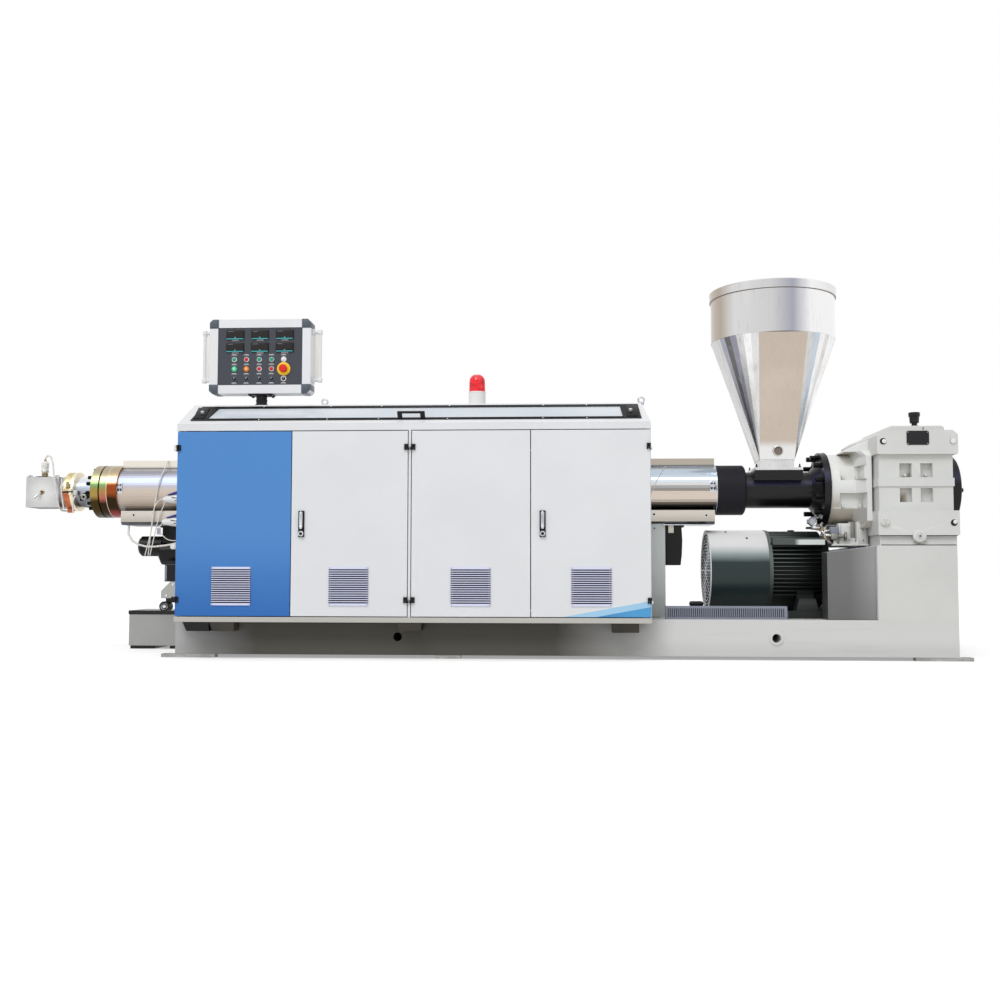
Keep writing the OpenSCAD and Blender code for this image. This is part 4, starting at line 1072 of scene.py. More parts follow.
class EXTRUDER_OT_cabinet(bpy.types.Operator):
    """Paints the guard cabinet, glazes its roof and fits the eyes, knobs and beacon"""

    bl_idname = "extruder.cabinet"
    bl_label = "Dress cabinet"

    def execute(self, context):
        dress("cabinet_frame", "cabinet_shell", edge=2.0)
        dress("cabinet_roof", "cabinet_white", edge=2.0)
        dress("rear_panels", "cabinet_grey", edge=2.0)
        dress("window_frame", "black_plastic", edge=1.5)
        paint("window_pane", "clear_pane")
        dress("window_handle", "black_plastic", edge=4.0, segments=3)
        dress("fixed_fittings", "black_plastic", "cabinet_white", edge=1.0,
              choose=lambda spot, n: "cabinet_white" if spot.x > 962.5
              or (spot.x < -1772.5 and spot.z > 800) else "black_plastic")
        paint("mounting_plate", "panel_grey")
        paint("barrel_supports", "frame_black")
        paint("lifting_eyes", "chrome")
        paint("beacon_base", "white_plastic")
        shape = Shape()
        shape.turned((-47, -300, 1487), (0, 0, 1), [(0, 53), (3, 53), (4, 51.5), (0, 51.5)],
                     "white_plastic", 48, closed=True)
        shape.turned((-47, -300, 1562), (0, 0, 1), [(0, 51.2), (4, 52.5), (8, 51.2)],
                     "white_plastic", 48)
        for x in (-964, 926):
            for y in (-300, 300):
                shape.hex_bolt((x, y, 1499), (0, 0, 1), 8, 7, "chrome")
        shape.piece("roof_trim")

        # The beacon's ribbed dome, over its reflector and lamp.
        shape = Shape()
        dome = [(0, 49), (8, 49), (10, 46), (62, 45), (80, 41.5), (92, 34), (100, 24), (104.5, 12),
                (106, 0)]
        shape.turned((-47, -300, 1570), (0, 0, 1), dome, "red_lens", 64)
        for turn in range(0, 360, 15):
            a = math.radians(turn)
            shape.sweep([(-47 + (r + 0.4) * math.cos(a), -300 + (r + 0.4) * math.sin(a), 1570 + z)
                         for z, r in dome[2:8]], 0.9, "red_lens", 6, 2)
        shape.turned((-47, -300, 1571), (0, 0, 1), [(0, 22), (14, 22), (16, 14), (62, 12), (66, 0)],
                     "lamp_core", 24)
        shape.block((-66, -316, 1592), (-28, -312, 1640), "lamp_core", 3)
        shape.piece("beacon_dome", replaced=("beacon_lens",))

        # The roof slopes in at 38.4 degrees from the header.
        rise = math.atan2(1487 - 1352, 570 - 400)
        lift = Matrix.Translation((0, -570, 1352)) @ Matrix.Rotation(rise, 4, "X")
        shape = Shape()
        for x, way in ((-1656, 1), (862, -1)):
            shape.block((x - 34, 52, 5), (x + 34, 176, 10), "black_plastic", 3)
            shape.turned((x + way * 10, 104, 9), (0, 0, 1),
                         [(0, 9), (4, 9), (6, 11), (13, 11), (16, 8), (17, 0)],
                         "grey_plastic", 24)
            shape.block((x + way * 10 - 8, 98, 22), (x + way * 10 + 4, 108, 27), "white_plastic", 2)
        shape.plate([(-1612, 44), (810, 44), (809, 52), (-1610, 52)], "XY", 4, 8, "black_plastic", 1)
        for x in (-1300, -900, -600, -200, 350, 600):
            shape.cross_screw((x, 186, 5.6), (0, 0, 1), 4.5, "chrome")
            shape.cross_screw((x, 41, 5.6), (0, 0, 1), 4.5, "chrome")
        bmesh.ops.transform(shape.bm, matrix=lift, verts=shape.bm.verts)
        shape.piece("window_trim")
        return {"FINISHED"}


class EXTRUDER_OT_doors(bpy.types.Operator):
    """Paints the four doors and fits their vents, seals, hinges and swing handles"""

    bl_idname = "extruder.doors"
    bl_label = "Dress doors"

    def execute(self, context):
        tints = ("cabinet_blue", "cabinet_white", "cabinet_white", "corner_door")
        for i, tint in enumerate(tints, 1):
            body = f"door_{i}"
            dress(body, tint, edge=2.2)
            paint(f"vent_{i}", "vent_lilac")
            low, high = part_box(f"vent_{i}")
            shape = Shape()
            x0, x1 = low.x * 1000, high.x * 1000
            # A dark sheet behind the vent slots, as painted shade.
            shape.block((x0 + 6, -566, 313), (x1 - 6, -563, 521), "dark_gap", 0.5)
            for x, z in ((x0 + 5.5, 312.5), (x1 - 5.5, 312.5), (x0 + 5.5, 521.5), (x1 - 5.5, 521.5)):
                shape.cross_screw((x, -576, z), (0, -1, 0), 3.2, "grey_plastic")
            low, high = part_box(body)
            x0, x1 = low.x * 1000, high.x * 1000
            for z in (249, 1301):
                shape.block((x0 + 4, -549, z), (x1 - 4, -545.5, z + 4), "grey_plastic", 0.8)
            shape.piece(f"door_trim_{i}", body)
        for i, x in ((2, -1036), (4, 347)):
            dress(f"fittings_{i}", "black_plastic", edge=1.2)
            shape = Shape()
            shape.block((x - 13.5, -579.2, 706), (x + 13.5, -577.8, 842), "dark_gap", 0.4)
            shape.plate([(x - 9, 752), (x + 9, 752), (x + 10, 838), (x, 844), (x - 10, 838)], "XZ",
                        -590, -586, "chrome", 1.4)
            shape.block((x - 7, -592, 744), (x + 7, -586, 762), "chrome", 3, 3)
            shape.turned((x, -583, 717), (0, -1, 0),
                         [(0, 15.5), (4, 15.5), (6, 13), (6, 9), (3.5, 8.5), (3.5, 0)], "chrome", 28)
            shape.turned((x, -586.4, 717), (0, -1, 0), [(0, 8.5), (2.5, 8.0), (3, 0)],
                         "black_plastic", 20)
            shape.piece(f"swing_lever_{i}", f"door_{i}")
        for i in (1, 3):
            dress(f"fittings_{i}", "black_plastic", edge=1.2)
        return {"FINISHED"}


class EXTRUDER_OT_panel(bpy.types.Operator):
    """Builds the control panel's profile, corners, meters, buttons and lamps"""

    bl_idname = "extruder.panel"
    bl_label = "Dress control panel"

    def execute(self, context):
        dress("panel_frame", "panel_alu", edge=2.5, segments=3)
        paint("panel_face", "panel_slate")
        paint("panel_foot", "frame_black")
        paint("panel_post", "frame_black")
        low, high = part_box("panel_face")
        x0, x1, z0, z1 = low.x * 1000 - 50, high.x * 1000 + 50, low.z * 1000 - 50, high.z * 1000 + 50
        shape = Shape()
        for cx, sx in ((x0, 1), (x1, -1)):
            for cz, sz in ((z0, 1), (z1, -1)):
                outline = [(cx + sx * 19, cz - sz), (cx + sx * 54, cz - sz), (cx + sx * 54, cz + sz * 50),
                           (cx + sx * 50, cz + sz * 54), (cx - sx, cz + sz * 54), (cx - sx, cz + sz * 19)]
                shape.plate(outline, "XZ", -417, -303, "corner_slate", 1.6)
                shape.plate([(cx + sx * 17, cz + sz * 10), (cx + sx * 46, cz + sz * 10),
                             (cx + sx * 46, cz + sz * 46), (cx + sx * 10, cz + sz * 46),
                             (cx + sx * 10, cz + sz * 17)], "XZ", -418.5, -416, "corner_slate", 1.0)
        for x, side in ((x0, -1), (x1, 1)):
            for z in (1640, 1930):
                shape.block((min(x, x + side * 12) - 1, -377, z - 17),
                            (max(x, x + side * 12) + 1, -343, z + 17), "panel_alu", 3)
                shape.block((x + side * 46 - 13, -373, z - 14), (x + side * 46 + 13, -347, z + 14),
                            "panel_alu", 4, 3)
            shape.block((min(x + side * 10, x + side * 40), -362, 1634),
                        (max(x + side * 10, x + side * 40), -356, 1938), "handle_beige", 2)
        shape.block((x1 - 40, -412, z0 - 8), (x1 - 4, -388, z0 - 0.5), "grey_plastic", 2)
        shape.piece("panel_corners", "panel")

        shape = Shape()
        for x in (-1483, -1334, -1185):
            for z in (1830, 1906):
                shape.block((x - 53, -419, z - 28), (x + 53, -410.9, z + 28), "meter_black", 3, 3)
                shape.block((x - 47, -419.6, z - 15), (x + 47, -418, z + 23), "meter_glass", 0.8)
                shape.block((x - 51, -420.2, z - 27), (x + 49, -418.4, z - 21), "teal_strip", 0.8)
                shape.block((x - 4, -420.0, z - 20), (x + 4, -418.6, z - 13), "teal_strip", 0.8)
                shape.block((x - 44, -419.9, z + 19), (x - 12, -418.8, z + 20.6), "grey_plastic", 0.3)
        rows = {1758: ("green_button", "red_button", "green_button", "green_button", "white_plastic"),
                1701: ("mint_lamp", "orange_lamp", "red_button", "red_button", None),
                1643: ("turn", "turn", "turn", "turn", "key")}
        for z, kinds in rows.items():
            for x, kind in zip((-1487, -1414, -1337, -1263, -1190), kinds):
                at = (x, -411, z)
                if kind in ("turn", "key"):
                    ring = "white_plastic" if kind == "key" else "corner_slate"
                    shape.turned(at, (0, -1, 0), [(0, 16.5), (2.5, 16.5), (3.5, 15), (3.5, 12), (2, 11.5)],
                                 ring, 28)
                    shape.turned(at, (0, -1, 0), [(1, 12), (4, 11), (5, 9), (5, 0)],
                                 "black_plastic", 28)
                    shape.block((x - 2.6, -420, z - 9), (x + 2.6, -415, z + 9),
                                "corner_slate", 1.0, 2, ("Y", 38))
                    shape.block((x - 1.2, -420.6, z), (x + 1.2, -419.4, z + 9),
                                "white_plastic", 0.3, 1, ("Y", 38))
                elif kind in ("mint_lamp", "orange_lamp"):
                    shape.turned(at, (0, -1, 0), [(0, 16), (3, 16), (4, 15)], kind, 28)
                    shape.turned(at, (0, -1, 0), [(3.8, 15), (7, 13.5), (9, 9), (9.4, 0)], kind, 28)
                    shape.turned(at, (0, -1, 0), [(8.6, 5), (9.8, 4), (10, 0)], "white_plastic", 16)
                elif kind:
                    shape.turned(at, (0, -1, 0), [(0, 16.5), (4, 16.5), (6, 14.5), (6, 11.5), (3, 11)],
                                 "chrome" if kind != "white_plastic" else "white_plastic", 32)
                    shape.turned(at, (0, -1, 0), [(3, 11.3), (7, 11), (8.5, 8.5), (8.8, 0)], kind, 28)
        stop = (-1190, -411, 1701)
        shape.turned(stop, (0, -1, 0), [(0, 40), (3, 40), (5, 37), (5, 22), (3, 20)], "stop_yellow", 44)
        shape.turned(stop, (0, -1, 0), [(3, 15), (14, 14), (15, 23), (24, 23.5), (29, 20),
                                        (30.5, 10), (31, 0)], "stop_red", 36)
        for z in (1785, 1728, 1672, 1616):
            for x in (-1487, -1414, -1337, -1263, -1190):
                if x > -1200 and z in (1728, 1672):
                    continue
                shape.block((x - 14, -411.8, z + 1.2), (x + 12, -410.9, z + 4.2), "white_plastic", 0.3)
                shape.block((x - 19, -411.8, z - 3.6), (x + 17, -410.9, z - 1.0), "grey_plastic", 0.3)
        for z in (1797, 1873):
            for x in (-1483, -1334, -1185):
                shape.block((x - 20, -411.8, z + 1), (x + 20, -410.9, z + 4), "white_plastic", 0.3)
                shape.block((x - 24, -411.8, z - 3.6), (x + 24, -410.9, z - 1.2), "grey_plastic", 0.3)
        shape.piece("panel_instruments", "panel", ("panel_controls",))
        shape = Shape()
        for x in (-1393, -1273):
            for y in (-392, -328):
                shape.hex_bolt((x, y, 1546), (0, 0, -1), 7, 6, "black_bolt")
        shape.turned((-1333, -360, 1512), (0, 0, 1), [(0, 34), (10, 34), (12, 32.5)], "black_plastic", 36)
        shape.piece("panel_swivel_trim", "panel")
        return {"FINISHED"}


# Barrel, die head and heater wiring


def round_the_barrel(radius, degrees, x=0.0):
    """A point on a barrel cylinder; 0 degrees faces the doors' side, 90 is on top."""
    a = math.radians(degrees)
    return (x, -radius * math.cos(a), BARREL_Z + radius * math.sin(a))


class EXTRUDER_OT_barrel(bpy.types.Operator):
    """Polishes the barrel cover and adds its latches, seams and screws, and paints the blowers"""

    bl_idname = "extruder.barrel"
    bl_label = "Dress barrel"

    def execute(self, context):
        dress("barrel_cover", "cover_steel", edge=1.0)
        dress("feed_barrel", "cast_black", "collar_black", edge=2.0,
              choose=lambda spot, n: "collar_black" if spot.x < 1567 else "cast_black")
        dress("blowers", "blower_black", edge=2.0)
        shape = Shape()
        for x in (-2270, 1364):
            for side in (1, -1):
                middle = Vector((x, -side * 151, 1012))
                shape.block((x - 18, middle.y - 2.5, 978), (x + 18, middle.y + 2.5, 1046),
                            "chrome", 1.5)
                for dx, dz in ((-8, 20), (8, 20)):
                    shape.turned((x + dx, middle.y - side * 2, 1012 + dz), (0, -side, 0),
                                 [(0, 7), (3, 7), (4, 5.5), (2, 4.5), (1.2, 0)], "chrome", 20)
                    shape.turned((x + dx, middle.y - side * 2.2, 1012 + dz), (0, -side, 0),
                                 [(2.4, 5), (2.6, 0)], "dark_gap", 16)
                for dx in (-8, 8):
                    y = sorted((middle.y - side * 2, middle.y - side * 6))
                    shape.block((x + dx - 5.5, y[0], 996), (x + dx + 5.5, y[1], 1010), "dark_gap", 1)
                    shape.block((x + dx - 4.5, y[0], 982), (x + dx + 4.5, y[1], 990), "chrome", 1)
                shape.sweep([(x - 15, middle.y - side * 5, 1024), (x - 15, middle.y - side * 8, 998),
                             (x, middle.y - side * 9, 990), (x + 15, middle.y - side * 8, 998),
                             (x + 15, middle.y - side * 5, 1024)], 1.8, "chrome", 8)
        for x, z in ((-2178, 846), (1322, 840), (-1840, 846), (1010, 846)):
            for side in (1, -1):
                shape.turned((x, -side * 150, z), (0, -side, 0),
                             [(0, 9), (1.5, 9), (2, 6)], "chrome", 20)
                shape.cross_screw((x, -side * 151, z), (0, -side, 0), 6.5, "black_bolt")
        for low, high in ((-2288, -1790), (975, 1384)):
            for side in (1, -1):
                y = sorted((-side * 54.5, -side * 58))
                shape.block((low + 2, y[0], 1141), (high - 2, y[1], 1146), "grey_plastic", 1)
        for x in (-2286.5, 1390.5):
            shape.turned((x, 0, BARREL_Z), (1, 0, 0),
                         [(-1.5, 149), (-1.5, 153.2), (1.5, 153.2), (1.5, 149)], "chrome", 96, True)
        shape.piece("cover_fittings")

        shape = Shape()
        for x, width, motor in ((-1921, 128, True), (-1000, 134, True), (150, 134, True),
                                (1172, 94, False)):
            shape.block((x - width + 26, -124, 783), (x + 24, 4, 787), "chrome", 1)
            for dx in (-width + 36, 14):
                for y in (-114, -6):
                    shape.hex_bolt((x + dx, y, 783), (0, 0, -1), 6, 6, "chrome")
            if motor:
                end = x - width - 113
                shape.turned((end + 0.5, -60, 656), (-1, 0, 0),
                             [(-20, 0), (-18, 45), (-4, 46), (1, 49.5), (-3, 52)], "dark_gap", 48)
                shape.turned((end - 1, -60, 656), (1, 0, 0), [(16, 0), (12, 12), (6, 14), (5, 0)],
                             "black_bolt", 24)
            for turn in (20, 140, 260):
                a = math.radians(turn)
                shape.hex_bolt((x + 0.5, -60 + 62 * math.cos(a), 613 + 62 * math.sin(a)),
                               (1, 0, 0), 5, 4, "chrome")
        shape.plate([(1080, 541), (1168, 541), (1176, 600), (1180, 690), (1175, 783), (1080, 783)],
                    "XZ", -134, -20, "blower_black", 4)
        shape.block((1096, -136.5, 735), (1128, -133.5, 782), "cream_plate", 0.8)
        shape.block((1060, -150, 781), (1206, 10, 786), "chrome", 0.8)
        shape.block((964, -136, 231), (1077, -130, 806), "panel_grey", 1.2)
        shape.turned((1013, -136, 763), (0, -1, 0), [(0, 5), (2, 5), (3, 3), (3, 0)], "blue_plastic", 16)
        shape.piece("blower_fittings")
        return {"FINISHED"}


class EXTRUDER_OT_head(bpy.types.Operator):
    """Finishes the die block, clamp, adapter and flanges with their screws and sensor"""

    bl_idname = "extruder.head"
    bl_label = "Dress die head"

    def execute(self, context):
        dress("die_block", "die_steel", edge=2.0)
        dress("adapter", "adapter_steel", "black_bolt", edge=0.8,
              choose=lambda spot, n: "black_bolt" if spot.y < -105 else "adapter_steel")
        dress("heater_clamp", "clamp_zinc", "dark_gap", edge=1.0,
              choose=lambda spot, n: "dark_gap" if 988.5 < spot.z < 996.5 and spot.y < -111
              else "clamp_zinc")
        dress("die_flanges", "flange_zinc", "black_bolt", edge=1.2,
              choose=lambda spot, n: "black_bolt" if spot.x < -2453.5 else "flange_zinc")
        dress("retainer_ring", "retainer_copper", edge=1.5)
        shape = Shape()
        for x in (-2868, -2696):
            for side in (1, -1):
                shape.turned((x, -side * 86, 1087), (0, -side * 0.5, 0.87),
                             [(-2, 17), (5, 17), (9, 14), (10, 8), (6, 6), (6, 0)], "chrome", 24)
                shape.turned((x, -side * 86, 1087), (0, -side * 0.5, 0.87),
                             [(6.3, 6.5), (6.2, 0)], "dark_gap", 6)
        shape.plate([(-2845, 1088), (-2720, 1088), (-2757, 1093), (-2810, 1093)], "XZ", -98, -20,
                    "dark_gap", 1)
        shape.turned((-2783, -92, 992), (0, -1, 0), [(0, 15), (10, 15), (12, 12), (12, 8), (4, 7)],
                     "bronze", 28)
        shape.sweep([(-2783, -90, 992), (-2790, -112, 986), (-2808, -128, 966), (-2820, -134, 952)],
                    5.5, "chrome", 14, 8)
        for t in (0.25, 0.45, 0.65, 0.85):
            at = Vector((-2790, -112, 986)).lerp(Vector((-2820, -134, 952)), t)
            shape.turned(at, (-0.6, -0.4, -0.69), [(-1.6, 5), (-1.4, 6.8), (1.4, 6.8), (1.6, 5)],
                         "ceramic_white", 16)
        for y in (-60, 60):
            for z in (940, 1060):
                shape.turned((-2884, y, z), (-1, 0, 0), [(0, 7.6), (-24, 7.4), (-24, 0)],
                             "dark_gap", 20)
        shape.turned((-2885, 0, 1000), (-1, 0, 0),
                     [(0.5, 30), (0.8, 40), (0.8, 48), (0.2, 50)], "chrome", 40)
        shape.piece("die_screws")

        shape = Shape()
        at = (-2786, -60, 1088)
        shape.turned(at, (0, 0, 1), [(0, 18), (14, 18), (16, 19.5), (22, 19.5), (24, 17), (30, 17)],
                     "bronze", 28)
        shape.turned(at, (0, 0, 1), [(28, 17), (32, 22), (38, 22.5), (44, 21), (60, 20.5),
                                     (66, 22), (88, 23.5), (92, 21), (100, 15), (101, 8)],
                     "ceramic_white", 32)
        shape.turned(at, (0, 0, 1), [(36, 23), (38, 24), (42, 24), (44, 23)], "chrome", 32)
        for turn in range(0, 360, 45):
            a = math.radians(turn)
            shape.block((-2786 + 22 * math.cos(a) - 2, -60 + 22 * math.sin(a) - 2, 1150),
                        (-2786 + 22 * math.cos(a) + 2, -60 + 22 * math.sin(a) + 2, 1174),
                        "white_plastic", 1)
        shape.turned((-2786, -60, 1186), (0, 0, 1), [(0, 9), (6, 8.5), (16, 6.4), (17, 5)],
                     "bronze", 24)
        shape.piece("sensor", replaced=("sensor_plug",))
        paint("heater_leads", "braid")

        shape = Shape()
        shape.block((-2619, -129, 1010), (-2599, -124.5, 1056), "bronze", 1.2)
        shape.block((-2619, -129.6, 1008), (-2599, -125, 1018), "dark_gap", 1)
        shape.block((-2640, -136, 985), (-2596, -122, 992), "dark_gap", 1)
        shape.block((-2578, -124, 968), (-2552, -100, 1004), "gear_white", 8, 3)
        for degrees in (18, -6, -36):
            x, y, z = round_the_barrel(136, degrees, -2453)
            shape.socket_bolt((x, y, z), (-1, 0, 0), 12, 34)
        shape.block((-2534, -120, 936), (-2512, -104, 966), "black_bolt", 4, 3)
        shape.block((-2496, -118, 906), (-2462, -96, 930), "grey_casting", 6, 3)
        shape.turned((-2508, -118, 960), (0, -1, 0), [(0, 19), (5, 19), (7, 16), (7, 8), (2, 7), (2, 0)],
                     "grey_casting", 32)
        shape.sweep([(-2661, -98, 1078), (-2655, -106, 1000), (-2646, -110, 930), (-2636, -110, 884)],
                    4.5, "wire_white", 10, 6)
        shape.sweep([(-2562, -112, 968), (-2570, -122, 952), (-2573, -126, 926), (-2573, -126, 896),
                     (-2571, -124, 860)], 5.5, "wire_white", 12, 8)
        shape.piece("head_fittings")
        return {"FINISHED"}


class EXTRUDER_OT_wiring(bpy.types.Operator):
    """Builds the heater connectors with their levers, and runs the thin wires down the cover"""

    bl_idname = "extruder.wiring"
    bl_label = "Run heater wiring"

    def execute(self, context):
        wire = context.scene.extruder_sizes.wire * 1000
        shape = Shape()
        for y, z, r in ((-158, 942, 28), (-172, 802, 27)):
            shape.turned((-1990, y, z), (1, 0, 0),
                         [(0, 0), (0, r * 0.42), (10, r * 0.66), (34, r * 0.78), (60, r * 0.95),
                          (76, r), (150, r), (158, r * 0.9), (190, r * 0.9)], "white_plastic", 32)
            shape.block((-1930, y - r - 1, z + 3), (-1864, y - r + 8, z + 8), "dark_gap", 1.5, 2,
                        ("Y", 8))
            shape.block((-1912, y - r - 0.5, z - 10), (-1852, y - r + 7, z - 6), "dark_gap", 1.5, 2,
                        ("Y", -4))
            shape.block((-1898, y - 20, z + r - 6), (-1800, y + 12, z + r), "white_plastic", 2.5)
            shape.plate([(-1966, z + r * 1.00), (-1958, z + r * 0.85), (-1880, z + r * 1.45),
                         (-1802, z + r * 1.8), (-1802, z + r * 2.15), (-1906, z + r * 1.75)],
                        "XZ", y - 14, y + 14, "blue_plastic", 3)
        shape.piece("heater_connectors", replaced=("terminal_blocks",))

        shape = Shape()
        reach = 155.5
        shape.sweep([(-1999, -62, 1187), (-2018, -153, 1061), (-2030, -157, 992), (-2041, -160, 924),
                     (-2052, -164, 830), (-2063, -166, 736), (-2097, -166, 597)], wire, "wire_white",
                    8, 3)
        shape.sweep([(-1978, -160, 952), (-2012, -164, 936), (-2041, -164, 900), (-2054, -166, 828),
                     (-2062, -168, 740), (-2076, -168, 597)], wire, "wire_white", 8, 5)
        shape.sweep([(-1978, -162, 934), (-1992, -164, 890), (-2012, -166, 840), (-2028, -170, 768),
                     (-2064, -170, 597)], wire, "wire_white", 8, 5)
        shape.sweep([(-1985, -174, 798), (-2002, -178, 776), (-2000, -178, 742), (-1968, -176, 704),
                     (-1936, -174, 690), (-1900, -170, 688)], wire * 0.8, "wire_white", 8, 6)
        shape.block((-2022, -182, 722), (-1996, -173, 772), "white_plastic", 2)
        shape.block((-2018, -183, 730), (-2000, -181, 764), "grey_plastic", 0.6)
        shape.sweep([round_the_barrel(reach, degrees, x) for x, degrees in
                     ((1112, 86), (1084, 62), (1046, 32), (1010, 4), (986, -18), (972, -34))],
                    wire * 0.7, "wire_white", 8, 6)
        shape.piece("heater_wires")

        dress("wall_bracket", "bracket_grey", edge=2.0)
        dress("wall_column", "frame_black", edge=1.5)
        shape = Shape()
        shape.turned((-1961, -188, 287), (0, -1, 0), [(0, 24), (5, 24), (7, 21), (7, 17), (4, 15)],
                     "chrome", 40)
        shape.turned((-1961, -188, 287), (0, -1, 0), [(3, 15.5), (3.5, 13), (3.5, 11)], "dark_gap", 32)
        shape.turned((-1961, -186, 287), (0, -1, 0), [(2, 11.5), (9, 10), (10, 7), (9.5, 4), (7, 0)],
                     "white_plastic", 28)
        shape.block((-1965, -181.5, 445), (-1953, -178.5, 536), "duct_grey", 1)
        shape.turned((-1922, -160, 652), (0, -1, 0), [(-20, 18), (8, 18), (12, 14), (13, 0)],
                     "white_plastic", 28)
        shape.block((-1800, -172, 560), (-1776, -130, 668), "black_plastic", 3)
        for x, z in ((-1950, 352), (-1910, 420)):
            shape.hex_bolt((x, -190, z), (0, -1, 0), 6, 5, "chrome")
        shape.piece("wall_trim")
        return {"FINISHED"}


# Gearbox, motor and hopper


def bell_flare(spot):
    """Leans the bell's back plate outwards to the gearbox, away from the round bell."""
    if 2185 < spot.x < 2200 and abs(spot.y) > 225:
        spot.x += (abs(spot.y) - 214) * 0.5
    return spot


def plate_corners(a, b):
    """Whether an edge runs across the gearbox at an outer corner of its upper or lower plate."""
    if abs(a.y - b.y) < 780 or abs(a.x - b.x) > 1 or not (a.x < 2280 or a.x > 2700):
        return False
    return any(abs(a.z - z) < 2 for z in (1177, 1290, 712)) or (abs(a.z - 853) < 2 and a.x > 2700)


